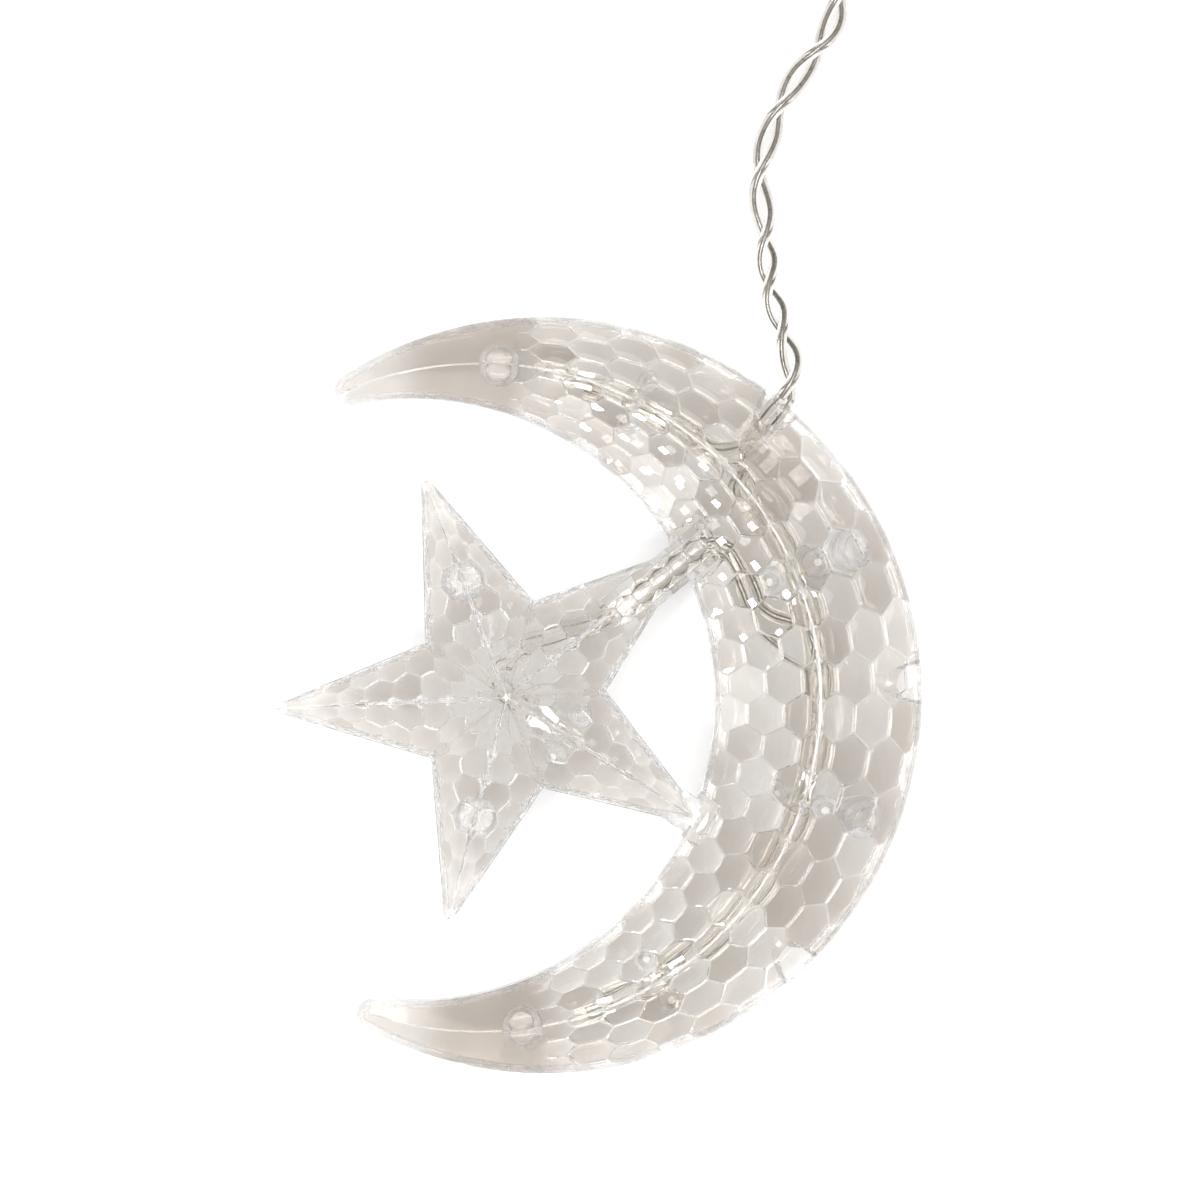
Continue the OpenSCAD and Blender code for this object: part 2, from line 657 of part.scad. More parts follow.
front_shell();
back_shell();
for (k = [1:LAMPS]) {
    lamp_lens(k);
    lamp_frame(k);
}
lamp_phosphors();
bus_wire(1);  // bus_wire_positive
bus_wire(-1);  // bus_wire_negative
star_wire(star_moon_positive, star_arm_positive);  // star_wire_positive
star_wire(star_moon_negative, star_arm_negative);  // star_wire_negative
lead_strand(1, strand_ridge_positive);  // lead_strand_positive
lead_strand(-1, strand_ridge_negative);  // lead_strand_negative
splice_sleeves();
lead_anchor();
lead_run();
lead_coil();
coil_tie();
plug_boot();
plug_body();
plug_contacts();
plug_seal();
plug_collar();
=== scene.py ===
# %% [markdown]
# # A clear moon and star on a twisted lead
# The real object is a pendant of a string light: a crescent moon and a star, moulded together in
# clear styrene as two pegged halves. Small lamps lie along the moon's ridge inside it, and a
# twisted pair of clear wires leaves through an outlet in its rim. The frame gives each piece its
# true place and size, and this lesson gives it its looks.

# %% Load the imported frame
import math

import bmesh
import bpy
from mathutils import Matrix, Vector


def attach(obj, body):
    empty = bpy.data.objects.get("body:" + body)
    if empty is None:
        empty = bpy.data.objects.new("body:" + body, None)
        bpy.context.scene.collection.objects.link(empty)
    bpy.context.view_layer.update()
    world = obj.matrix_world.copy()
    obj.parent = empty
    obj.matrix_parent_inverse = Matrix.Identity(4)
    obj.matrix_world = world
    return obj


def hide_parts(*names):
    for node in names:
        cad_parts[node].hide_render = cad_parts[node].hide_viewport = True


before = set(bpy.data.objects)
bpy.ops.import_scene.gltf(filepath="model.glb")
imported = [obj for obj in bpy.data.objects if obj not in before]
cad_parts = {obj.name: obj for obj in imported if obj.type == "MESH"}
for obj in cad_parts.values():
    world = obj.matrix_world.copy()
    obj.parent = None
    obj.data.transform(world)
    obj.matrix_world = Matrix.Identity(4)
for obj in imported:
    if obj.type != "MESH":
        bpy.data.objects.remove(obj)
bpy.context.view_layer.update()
MM = 0.001

# %% [markdown]
# ## The camera
# The photograph looks straight down on the pendant, which lies on its back, and the camera is
# rolled by two degrees. A long lens far away keeps the upright rim from leaning outwards.

# %% Camera over the pendant
PART_Z = 8.85
PHOTO_WIDTH = 191
CAMERA_DISTANCE = 700
CAMERA_AIM = (0.53, 14.8)
CAMERA_ROLL = -2
SENSOR = 36
camera_data = bpy.data.cameras.new("photo_camera")
camera_data.sensor_width = SENSOR
camera_data.lens = SENSOR * CAMERA_DISTANCE / PHOTO_WIDTH
camera_data.clip_start = 0.01
camera = bpy.data.objects.new("photo_camera", camera_data)
camera.location = Vector((*CAMERA_AIM, PART_Z + CAMERA_DISTANCE)) * MM
camera.rotation_euler = (0, 0, math.radians(CAMERA_ROLL))
bpy.context.scene.collection.objects.link(camera)
bpy.context.scene.camera = camera
print("camera lens:", round(camera_data.lens, 1), "mm")

# %% [markdown]
# ## Shader sums
# A finish is easier to read as a sum than as a drawing of nodes. This small class wraps a socket,
# so that a Python expression on it adds the Math nodes, and one method adds any other node.

# %% A socket that can be used in sums
class Flow:
    """A shader socket. A sum on it adds a Math node, and node() adds any other."""

    def __init__(self, tree, socket):
        self.tree = tree
        self.socket = socket

    def node(self, kind, settings=None, sockets=None, give=0):
        made = self.tree.nodes.new(kind)
        for key, value in (settings or {}).items():
            setattr(made, key, value)
        for key, value in (sockets or {}).items():
            if isinstance(value, Flow):
                self.tree.links.new(value.socket, made.inputs[key])
            else:
                made.inputs[key].default_value = value
        return Flow(self.tree, made.outputs[give])

    def sum(self, operation, first, second):
        return self.node("ShaderNodeMath", {"operation": operation}, {0: first, 1: second})

    def __add__(self, other):
        return self.sum("ADD", self, other)

    def __radd__(self, other):
        return self.sum("ADD", other, self)

    def __mul__(self, other):
        return self.sum("MULTIPLY", self, other)

    def __rmul__(self, other):
        return self.sum("MULTIPLY", other, self)

    def noise(self, scale, detail=2.0):
        sockets = {"Vector": self, "Scale": scale, "Detail": detail}
        return self.node("ShaderNodeTexNoise", {}, sockets, "Fac")

    def blend(self, dark, pale):
        sockets = {0: self, 6: (*dark, 1), 7: (*pale, 1)}
        return self.node("ShaderNodeMix", {"data_type": "RGBA"}, sockets, 2)

    def bump(self, height, strength, distance):
        sockets = {"Strength": strength, "Distance": distance * MM, "Height": height}
        return self.node("ShaderNodeBump", {}, sockets)


def new_finish(name, **numbers):
    """A Principled material with plain numbers set, its shader, and its object coordinates."""
    material = bpy.data.materials.new(name)
    material.use_nodes = True
    shader = material.node_tree.nodes["Principled BSDF"]
    for key, value in numbers.items():
        shader.inputs[key.replace("_", " ")].default_value = value
    start = material.node_tree.nodes.new("ShaderNodeTexCoord")
    return material, shader, Flow(material.node_tree, start.outputs["Object"])


def feed(shader, **flows):
    """Joins flows to the shader's sockets of those names."""
    for key, flow in flows.items():
        flow.tree.links.new(flow.socket, shader.inputs[key.replace("_", " ")])


print("shader sums ready")

# %% [markdown]
# ## The lead's finishes
# Each strand is clear soft vinyl over a fine tinned core. The vinyl is not quite even, so its
# roughness drifts, and the core shows the lay of its hairs as a fine stripe.

# %% Vinyl and tinned core
vinyl, shader, place = new_finish("clear_vinyl", IOR=1.52, Transmission_Weight=1.0)
haze = place.noise(260.0)
feed(shader, Base_Color=haze.blend((0.79, 0.76, 0.71), (0.90, 0.88, 0.845)))
feed(shader, Roughness=0.02 + 0.04 * haze)

tinned, shader, place = new_finish("tinned_core", Metallic=1.0)
hairs = place.noise(1500.0, 3.0)
feed(shader, Base_Color=hairs.blend((0.14, 0.133, 0.12), (0.46, 0.445, 0.415)))
feed(shader, Roughness=0.2 + 0.2 * hairs)
feed(shader, Normal=place.bump(hairs, 0.25, 0.04))
print("lead finishes:", vinyl.name, tinned.name)

# %% [markdown]
# ## The lead
# The twisted lead comes out of the upper outlet, drops to the surface and wanders off in a loose
# curve. What the photograph doesn't show is put away as a tied coil with its plug beside it. A
# route of points is smoothed, cut into even steps, and two strands wind round it.

# %% Route of the lead
OUTLET_A = math.radians(49)
MOON_X = -8.75
MOON_R = 60
EXIT_R = 60.6
EXIT_Z = 11
COIL_C = Vector((17.5, 142, 0))
COIL_R = 25.5
COIL_STEP = 4.65
COIL_TURNS = 3.25
COIL_Z = 2.7
COIL_OUT = 20.5
PLUG_Z = 6.1
exit_place = Vector((MOON_X + EXIT_R * math.cos(OUTLET_A), EXIT_R * math.sin(OUTLET_A), EXIT_Z))
lead_route = [exit_place] + [Vector(p) for p in (
    (31.6, 47.1, 11), (32.1, 49.7, 10.8), (31.9, 53, 10), (31, 57, 8.6), (29.9, 61.5, 6.9),
    (29.2, 66, 5.2), (29.2, 70.5, 3.8), (29, 75, 2.8), (28.5, 79.5, 2.3), (28.8, 83.8, 2.2),
    (30.3, 88.4, 2.2), (32.2, 93, 2.2), (35, 97.4, 2.2), (38.4, 101.6, 2.2), (40.9, 105.8, 2.2),
    (42.3, 110.2, 2.2), (43, 115, 2.2), (43, 121, 2.4), (43, 127, 2.6), (43, 132, 2.7),
    (43, 137, 2.7))]


def smooth_line(points, steps):
    """A smooth curve through points, with that many steps from each to the next."""
    padded = [2 * points[0] - points[1], *points, 2 * points[-1] - points[-2]]
    line = []
    for a, b, c, d in zip(padded, padded[1:], padded[2:], padded[3:]):
        for j in range(steps):
            k = j / steps
            line.append(0.5 * (2 * b + (c - a) * k + (2 * a - 5 * b + 4 * c - d) * k ** 2
                               + (3 * b - a - 3 * c + d) * k ** 3))
    return line + [points[-1]]


def ease(x):
    """A soft step from 0 to 1 while x goes from 0 to 1."""
    k = min(1, max(0, x))
    return k * k * (3 - 2 * k)


def coil_turn(u):
    """A place on the coil, which winds in below, rises over half a turn and winds out on top."""
    radius = COIL_R - COIL_STEP * (COIL_TURNS / 2 - abs(u - COIL_TURNS / 2))
    lift = COIL_Z + COIL_STEP * ease(2 * (u - COIL_TURNS / 2 + 0.25))
    angle = 2 * math.pi * u
    return COIL_C + Vector((radius * math.cos(angle), radius * math.sin(angle), lift))


def even_steps(line, step):
    """The same line with points a fixed step apart."""
    made = [line[0].copy()]
    left = step
    for a, b in zip(line, line[1:]):
        span = (b - a).length
        at = left
        while at <= span:
            made.append(a.lerp(b, at / span))
            at += step
        left = at - span
    return made + [line[-1].copy()]


TURN_STEPS = 64
ROUTE_STEPS = 8
LEAD_STEP = 0.9
RUN_STOPS = (3, 6, 9, 12, 16, COIL_OUT)
RISE_FROM = 2
RISE_RUN = COIL_OUT - 7
coil_line = [coil_turn(i / TURN_STEPS) for i in range(int(COIL_TURNS * TURN_STEPS) + 1)]
coil_end = coil_line[-1]
plug_rise = PLUG_Z - coil_end.z
run_line = [coil_end + Vector((-s, 0, plug_rise * ease((s - RISE_FROM) / RISE_RUN))) for s in RUN_STOPS]
lead_line = even_steps(smooth_line(lead_route, ROUTE_STEPS) + coil_line + run_line, LEAD_STEP)
lead_length = sum((b - a).length for a, b in zip(lead_line, lead_line[1:]))
print("lead length:", round(lead_length), "mm in", len(lead_line), "points")

# %% [markdown]
# A bevelled curve makes a round tube along any line of points. It is turned into a mesh, so that
# several tubes with their own finishes can be one piece.

# %% Tubes and pieces
def tube(points, radius, rounding=4):
    """A mesh tube along points, in metres. Its sides are twice the rounding and four."""
    curve = bpy.data.curves.new("tube", "CURVE")
    curve.dimensions = "3D"
    curve.bevel_depth = radius * MM
    curve.bevel_resolution = rounding
    curve.use_fill_caps = True
    spline = curve.splines.new("POLY")
    spline.points.add(len(points) - 1)
    for knot, p in zip(spline.points, points):
        knot.co = (*(p * MM), 1)
    holder = bpy.data.objects.new("tube", curve)
    bpy.context.scene.collection.objects.link(holder)
    shown = holder.evaluated_get(bpy.context.evaluated_depsgraph_get())
    mesh = bpy.data.meshes.new_from_object(shown)
    bpy.data.objects.remove(holder)
    bpy.data.curves.remove(curve)
    return mesh


def join_piece(name, parts, sharp=None):
    """One piece from pairs of mesh and material."""
    bm = bmesh.new()
    for index, (mesh, _) in enumerate(parts):
        before = len(bm.faces)
        bm.from_mesh(mesh)
        bm.faces.ensure_lookup_table()
        for face in bm.faces[before:]:
            face.material_index = index
            face.smooth = True
        bpy.data.meshes.remove(mesh)
    return bake_piece(name, bm, [material for _, material in parts], sharp)


def bake_piece(name, bm, materials, sharp=None):
    """A scene object from a bmesh, which is freed."""
    mesh = bpy.data.meshes.new(name)
    bm.to_mesh(mesh)
    bm.free()
    for material in materials:
        mesh.materials.append(material)
    if sharp is not None:
        mesh.set_sharp_from_angle(angle=math.radians(sharp))
    piece = bpy.data.objects.new(name, mesh)
    bpy.context.scene.collection.objects.link(piece)
    return piece


def settle(piece, body, slot, *nodes):
    """The piece rides on a body and stands for CAD nodes, which are hidden. The slot is not used."""
    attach(piece, body)
    if nodes:
        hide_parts(*nodes)
    return piece


print("tubes and pieces ready")

# %% The twisted pair
STRAND_R = 0.85
CORE_R = 0.23
CORE_ROUNDING = 2
TWIST_R = 1.2
START_TWIST_R = 0.95
START_RUN = 6
CROSSINGS = (2.5, 11.6, 20, 28.2, 38.8, 49.8, 61)
NEXT_CROSSING = 9.6


def twist_frame(line):
    """Two directions across the line at each point, carried along without turning."""
    way = (line[1] - line[0]).normalized()
    side = Vector((0, 0, 1)).cross(way).normalized()
    frames = []
    for i in range(len(line)):
        way = (line[min(i + 1, len(line) - 1)] - line[max(i - 1, 0)]).normalized()
        side = (side - side.dot(way) * way).normalized()
        frames.append((side.copy(), way.cross(side)))
    return frames


def half_turns(run):
    """How many times the strands have crossed at a distance along the lead."""
    if run >= CROSSINGS[-1]:
        return len(CROSSINGS) - 1 + (run - CROSSINGS[-1]) / NEXT_CROSSING
    for i, (a, b) in enumerate(zip(CROSSINGS, CROSSINGS[1:])):
        if run < b:
            return i + (run - a) / (b - a)


def strand_line(line, frames, phase):
    """The centre of one strand, which lies closer in where the lead starts."""
    made = []
    run = 0
    for i, (p, (side, up)) in enumerate(zip(line, frames)):
        if i:
            run += (p - line[i - 1]).length
        turn = phase + math.pi * (0.5 + half_turns(run))
        reach = START_TWIST_R + (TWIST_R - START_TWIST_R) * ease(run / START_RUN)
        made.append(p + reach * (math.cos(turn) * side + math.sin(turn) * up))
    return made


lead_frames = twist_frame(lead_line)
strands = [strand_line(lead_line, lead_frames, phase) for phase in (0, math.pi)]
lead_pair = join_piece("lead_pair", [
    (tube(strands[0], STRAND_R), vinyl), (tube(strands[1], STRAND_R), vinyl),
    (tube(strands[0], CORE_R, CORE_ROUNDING), tinned), (tube(strands[1], CORE_R, CORE_ROUNDING), tinned)])
settle(lead_pair, "back_half", "wire_insulation", "lead_run", "lead_coil")
print("twisted pair:", len(lead_pair.data.polygons), "faces")

# %% [markdown]
# ## The moon's own coordinates
# The moon's roof is two cones that meet in a ridge. The ridge is an ellipse with the centres of
# the outer and inner edges as its foci, so any place on the roof is an angle along the ridge and
# a share of the way to the edge. The star has the same for each arm.

# %% Places on the moon and the star
BITE_R = 47.9
BITE_X = MOON_X - 21
RIM_H = 2
HALF_DEPTH = 9
RIDGE_A = (MOON_R + BITE_R) / 2
RIDGE_C = (MOON_X - BITE_X) / 2
RIDGE_B = math.sqrt(RIDGE_A ** 2 - RIDGE_C ** 2)
RIDGE_X = MOON_X - RIDGE_C
SLOPE = (HALF_DEPTH - RIM_H) / (MOON_R - RIDGE_A + RIDGE_C)
STAR_X = MOON_X - 5.9
STAR_TURN = 1
ARM_STEP = 72
ARM_HALF = ARM_STEP / 2
STAR_SHARP = 38.6
TIP_A = math.radians(19.4)
STAR_EDGE = STAR_SHARP * math.sin(TIP_A)
STAR_SLOPE = (HALF_DEPTH - RIM_H) / STAR_EDGE


def ridge_place(t):
    a = math.radians(t)
    return Vector((RIDGE_X + RIDGE_A * math.cos(a), RIDGE_B * math.sin(a), 0))


def by_ridge(t, side, z):
    """A point beside the ridge: its angle, its distance outwards and its height."""
    c, s = math.cos(math.radians(t)), math.sin(math.radians(t))
    out = Vector((RIDGE_B * c, RIDGE_A * s, 0)).normalized()
    return ridge_place(t) + side * out + Vector((0, 0, PART_Z + z))


def arm_angle(i):
    """The direction of an arm of the star, from X."""
    return math.radians(ARM_HALF + ARM_STEP * i + STAR_TURN)


def by_arm(i, s, side, z):
    """A point by an arm of the star: its distance from the centre, to the left, and its height."""
    a = arm_angle(i)
    along = Vector((math.cos(a), math.sin(a), 0))
    left = Vector((-math.sin(a), math.cos(a), 0))
    return Vector((STAR_X, 0, PART_Z + z)) + s * along + side * left


print("ridge runs from", [round(x, 1) for x in ridge_place(110)], "to its mirror image")

# %% [markdown]
# ## Honeycomb relief
# Both halves carry a relief of six-sided lenses that follows the crescent: the cells keep their
# step along the ridge and squeeze together towards the horns. A flat sheet of hexagons is made in
# lattice steps, refined, and laid on the roof. Closed above, it is a cutter, and one cut gives the
# moulded half its lenses while the frame's walls, pegs, outlets and bridge stay as they are.

# %% A flat sheet of hexagons
ROW = math.sqrt(3) / 2
HEX_R = 1 / math.sqrt(3)
CELL_CUTS = 2
GROOVE_W = 0.05
GROOVE_POWER = 1.5
MERGE = 1e-4
CUT_MERGE = 1e-5
TONE_OWN = 0.9
# Painted shade that leans across each cell, paler to one side
PAINTED_SHADE_LEAN = 0.4
TONE_DOME = 0.2
# Painted highlight lines along the cell grooves
GROOVE_PAINTED_HIGHLIGHT = 0.6
HORN_TONE = -0.17
WALL_TONE = 0.6
# Palest tone: it paints a highlight along the ridge beads and leaves the post sinks clear
CLEAR_AND_HIGHLIGHT_TONE = 1.3
STAR_OWN = 0.5
STAR_LIFT = 0.52
# Painted shade on the moon's outer slope
OUTER_SHADE = 0.25
OUTER_RISE = 3
EDGE_LIFT = 0.2
EDGE_LIFT_FROM = 0.6
EDGE_LIFT_RISE = 2
CHANCE_X = 12.9898
CHANCE_Y = 78.233
CHANCE_SPREAD = 7919


def hex_sheet(columns, rows, keep):
    """Rows of hexagons one step apart, bordered and refined. keep(x, y) chooses them."""
    bm = bmesh.new()
    for k in range(rows[0], rows[1] + 1):
        for j in range(columns[0], columns[1] + 1):
            x, y = j + 0.5 * (k % 2), k * ROW
            if keep(x, y):
                spot = Matrix.Translation((x, y, 0))
                bmesh.ops.create_circle(bm, cap_ends=True, segments=6, radius=HEX_R, matrix=spot)
    bmesh.ops.remove_doubles(bm, verts=bm.verts, dist=MERGE)
    cells = bm.faces[:]
    bmesh.ops.inset_individual(bm, faces=cells, thickness=GROOVE_W, use_even_offset=True)
    bmesh.ops.poke(bm, faces=cells)
    bmesh.ops.subdivide_edges(bm, edges=bm.edges, cuts=CELL_CUTS, use_grid_fill=True)
    return bm


def cut_sheet(bm, place, normal, clear=False):
    """Cuts the sheet by a plane and, if asked, drops what lies on the normal's side."""
    geom = bm.verts[:] + bm.edges[:] + bm.faces[:]
    bmesh.ops.bisect_plane(bm, geom=geom, dist=CUT_MERGE, plane_co=place, plane_no=normal,
                           clear_outer=clear)


def cell_middle(x, y):
    """The middle of the cell that a place on the sheet is in."""
    near = round(y / ROW)
    spots = []
    for k in (near - 1, near, near + 1):
        spots.append((round(x - 0.5 * (k % 2)) + 0.5 * (k % 2), k * ROW))
    return min(spots, key=lambda spot: math.hypot(x - spot[0], y - spot[1]))


def cell_shape(x, y):
    """How far a place lies towards its cell's corners, and how deep in the groove round it: 0 to 1."""
    middle = cell_middle(x, y)
    dx, dy = x - middle[0], y - middle[1]
    to_side = max(abs(dx), abs(0.5 * dx + ROW * dy), abs(0.5 * dx - ROW * dy))
    groove = max(0, 1 - (0.5 - to_side) / GROOVE_W)
    return 3 * (dx ** 2 + dy ** 2), groove ** GROOVE_POWER


def chance_of(x, y):
    """A number from 0 to 1 that looks like chance and is the same in each run."""
    return abs(math.sin(CHANCE_X * x + CHANCE_Y * y)) * CHANCE_SPREAD % 1


def no_plain(x, y):
    """No share of a plain tone, for a sheet that is all cells."""
    return 0, 0


def paint_cell_tones_and_light(bm, own_tone, plain_tone=no_plain):
    """Gives each cell a tone of its own, with painted shade that leaves it paler to one side and a painted
    highlight line in its groove.
    """
    tone = bm.loops.layers.float.new("cell_tone_and_painted_light")
    for face in bm.faces:
        x, y = cell_middle(*face.calc_center_median().xy)
        own = own_tone(x, chance_of(x, y))
        face.material_index = 1
        for corner in face.loops:
            at = corner.vert.co
            dome, groove = cell_shape(at.x, at.y)
            # painted shade across the cell, paler thinner corners, and a painted highlight in the groove
            lean = PAINTED_SHADE_LEAN * (at.x - x + at.y - y) + TONE_DOME * dome + GROOVE_PAINTED_HIGHLIGHT * groove
            share, plain = plain_tone(at.x, at.y)
            corner[tone] = (1 - share) * (own + lean) + share * plain


def paint_bead_highlight(bm, on_bead):
    """Paints a highlight on the bead of a ridge: its corners take the palest tone, quite clear, so that it
    stands out as a white line.
    """
    tone = bm.loops.layers.float["cell_tone_and_painted_light"]
    for face in bm.faces:
        if on_bead(face.calc_center_median()):
            for corner in face.loops:
                corner[tone] = CLEAR_AND_HIGHLIGHT_TONE


def tone_plain(bm, plain):
    """Gives a cutter without cells one tone all over."""
    tone = bm.loops.layers.float.new("cell_tone_and_painted_light")
    for face in bm.faces:
        face.material_index = 1
        for corner in face.loops:
            corner[tone] = plain


def close_cutter(bm, height):
    """Raises walls from the sheet's edge to a flat top, so that it is a solid."""
    rim = [edge for edge in bm.edges if edge.is_boundary]
    raised = bmesh.ops.extrude_edge_only(bm, edges=rim)["geom"]
    for vert in raised:
        if isinstance(vert, bmesh.types.BMVert):
            vert.co.z = height
    top = [edge for edge in raised if isinstance(edge, bmesh.types.BMEdge)]
    bmesh.ops.holes_fill(bm, edges=top)
    bmesh.ops.recalc_face_normals(bm, faces=bm.faces)


def try_cutter(name, bm):
    """Says how fine a cutter is, and frees it."""
    print(name, "cutter:", len(bm.faces), "faces")
    bm.free()


print("hexagon sheet ready")

# %% [markdown]
# On the real moulding a fine bead runs along each ridge, a thin groove rings each lens, and the
# rim's upper edge is rounded. The cutter carries all three, because its depth under the frame's
# roof is a plain sum of them at each of its points.

# %% Cutter for the moon
CELL_T = 6.2
CELL_V = 0.35
FIRST_T = 1.0
MOON_COLUMNS = (-4, 4)
MOON_ROWS = (-20, 20)
KEEP_V = 1.2
HORN_FROM_T = 75
HORN_FADE_T = 8
CELL_FADE_FROM_T = 77
CELL_FADE_T = 5
SKIN_END_T = 88
PALE_TIP_T = 95
SHEET_END_T = 104
SHEET_V = 1.04
LENS = 0.075
GROOVE = 0.14
SKIN = 0.2
LEAST_SKIN = 0.01
CUTTER_TOP = HALF_DEPTH + 4
BEAD_TOP = 0.04
BEAD_V = 0.022
EDGE = 0.9
EDGE_DROP = 0.4
EDGE_CLEAR = 0.7
BEAD_LINES = (-1, -0.93, -0.75, -0.45, 0.45, 0.75, 0.93, 1)
EDGE_LINES = (0.95, 0.97, 0.985, 1.0)
BRIDGE_SIDE = -0.7
BRIDGE_W = 6.5
BRIDGE_H = 4.2
NOSE_ARM = 4
NOSE_R = 2.85
NOSE_H = 3.2
BRIDGE_END = 42.5
NOSE_END = 37.8
ARM_ROOM = 0.7
ARM_ENDS = ((0, BRIDGE_SIDE, BRIDGE_W / 2, BRIDGE_H, BRIDGE_END), (NOSE_ARM, 0, NOSE_R, NOSE_H, NOSE_END))


def arm_turn(arm):
    """Turns an arm that lies along X about the star's centre into its place."""
    return Matrix.Translation((STAR_X, 0, 0)) @ Matrix.Rotation(arm_angle(arm), 4, "Z")


def moon_width(t):
    """The roof's width from the ridge to either edge."""
    return MOON_R - RIDGE_A + RIDGE_C * math.cos(math.radians(t))


def moon_at(t, v, drop):
    """A place on the moon's roof, some way below it, square to it."""
    half_width = moon_width(t)
    ridge = ridge_place(t)
    focus = Vector((MOON_X if v >= 0 else BITE_X, 0, 0))
    out = (ridge - focus).normalized()
    far = abs(v) * half_width
    height = RIM_H + SLOPE * (half_width - far)
    across = out if v >= 0 else -out
    lean = SLOPE * min(1, abs(v) / BEAD_V)
    normal = (lean * across + Vector((0, 0, 1))).normalized()
    return ridge + far * across + Vector((0, 0, height)) - drop * normal


def roof_drop(share, bead, skin, relief, edge):
    """The depth under the roof: the bead on the ridge, the relief beside it and the rounded rim."""
    if share < bead:
        drop = skin - (skin - min(skin, BEAD_TOP)) * math.sqrt(1 - (share / bead) ** 2)
    else:
        drop = skin + relief * min(1, (share - bead) / bead)
    return drop + EDGE_DROP * max(0, 1 - edge / EDGE) ** 2


def moon_cell(x, y):
    """The angle along the ridge and the share of the way to the edge for a place on the sheet."""
    return FIRST_T + y / ROW * CELL_T, x * CELL_V


def keep_moon(x, y):
    t, v = moon_cell(x, y)
    return abs(v) < KEEP_V and abs(t) < SHEET_END_T + CELL_T


def horn_tone(x, y):
    """How far a place lies in the plain horns, and their tone, which turns pale at the tips."""
    t = abs(moon_cell(x, y)[0])
    tip = ease((t - PALE_TIP_T) / (SHEET_END_T - PALE_TIP_T))
    return ease((t - HORN_FROM_T) / HORN_FADE_T), HORN_TONE + (WALL_TONE - HORN_TONE) * tip


def moon_tone_and_shade(x, chance):
    """A cell's own tone, with a painted shade on the outer slope, and paler towards both edges."""
    v = x * CELL_V
    by_edge = ease(EDGE_LIFT_RISE * abs(v) - EDGE_LIFT_FROM)
    return TONE_OWN * chance - OUTER_SHADE * ease(OUTER_RISE * v) + EDGE_LIFT * by_edge


def clear_of_arms(place):
    """Lifts a place on the cutter over the bridge and the nose where they top the roof."""
    for arm, middle, half_width, top, end in ARM_ENDS:
        s, side, _ = arm_turn(arm).inverted() @ place
        if abs(side - middle) < half_width + ARM_ROOM and s < end and place.z < top:
            place.z = top + 1
    return place


def moon_cutter():
    bm = hex_sheet(MOON_COLUMNS, MOON_ROWS, keep_moon)
    for line in BEAD_LINES:
        cut_sheet(bm, (line * BEAD_V / CELL_V, 0, 0), (1, 0, 0))
    for side in (-1, 1):
        for line in EDGE_LINES:
            cut_sheet(bm, (side * line / CELL_V, 0, 0), (1, 0, 0))
        cut_sheet(bm, (side * SHEET_V / CELL_V, 0, 0), (side, 0, 0), True)
        end = (side * SHEET_END_T - FIRST_T) / CELL_T * ROW
        cut_sheet(bm, (0, end, 0), (0, side, 0), True)
    bmesh.ops.dissolve_degenerate(bm, dist=MERGE, edges=bm.edges)
    paint_cell_tones_and_light(bm, moon_tone_and_shade, horn_tone)
    paint_bead_highlight(bm, lambda middle: abs(middle.x * CELL_V) < BEAD_V)
    for vert in bm.verts:
        t, v = moon_cell(vert.co.x, vert.co.y)
        dome, groove = cell_shape(vert.co.x, vert.co.y)
        fade = 1 - ease((abs(t) - CELL_FADE_FROM_T) / CELL_FADE_T)
        plain = 1 - ease((abs(t) - SKIN_END_T) / (SHEET_END_T - SKIN_END_T))
        edge = (1 - abs(v)) * moon_width(t) + EDGE * (1 - plain)
        fade = fade * ease(edge / EDGE - EDGE_CLEAR)
        relief = fade * (LENS * CELL_V * moon_width(t) * dome + GROOVE * groove)
        drop = roof_drop(abs(v), BEAD_V, LEAST_SKIN + SKIN * plain, relief, edge)
        place = moon_at(t, v, drop)
        vert.co = clear_of_arms(place) if v < 0 else place
    close_cutter(bm, CUTTER_TOP)
    return bm


try_cutter("moon", moon_cutter())

# %% Cutter for an arm of the star
STAR_CELL = 4.5
STAR_ROW_V = 0.46
STAR_RIDGE_Y = 0.3
STAR_FROM = 1.2
STAR_TO = (20.6, 33, 33, 33, 36.6)
STAR_ROWS = (0, 3)
STAR_FADE_FROM = 22
STAR_FADE = 5
TIP_FADE = 5
MIDDLE_FADE = 2.5
STAR_PALE = 1.6
STAR_PALE_CELLS = 4
STAR_BEAD_V = 0.04
STAR_SKIN = 0.1
STAR_GROOVE = 0.7 * GROOVE
WAIST_FADE = 1.5
WAIST_PULL = 0.045
WAIST_R = 15.6
WAIST_S = WAIST_R * math.cos(math.radians(ARM_HALF))


def arm_width(s, least=0):
    return min(s * math.tan(math.radians(ARM_HALF)), max(least, (STAR_SHARP - s) * math.tan(TIP_A)))


def star_at(s, v, drop, least=0):
    """A place some way below the roof of an arm that lies along X. The nose has a least width."""
    far = v * arm_width(s, least)
    lean = STAR_SLOPE * math.cos(TIP_A)
    height = RIM_H + STAR_SLOPE * (STAR_SHARP - s) * math.sin(TIP_A) - lean * v * arm_width(s)
    if least:
        over_edge = (by_arm(NOSE_ARM, s, 0, 0) - Vector((BITE_X, 0, PART_Z))).length - BITE_R
        height = max(height, RIM_H + SLOPE * over_edge)
    normal = Vector((STAR_SLOPE * math.sin(TIP_A), lean * min(1, v / STAR_BEAD_V), 1)).normalized()
    return Vector((s, far, height)) - drop * normal


def star_tone(x, chance):
    """A cell's own tone, which is paler towards the star's middle."""
    return STAR_OWN * chance + STAR_LIFT * (STAR_PALE - ease(x / STAR_PALE_CELLS))


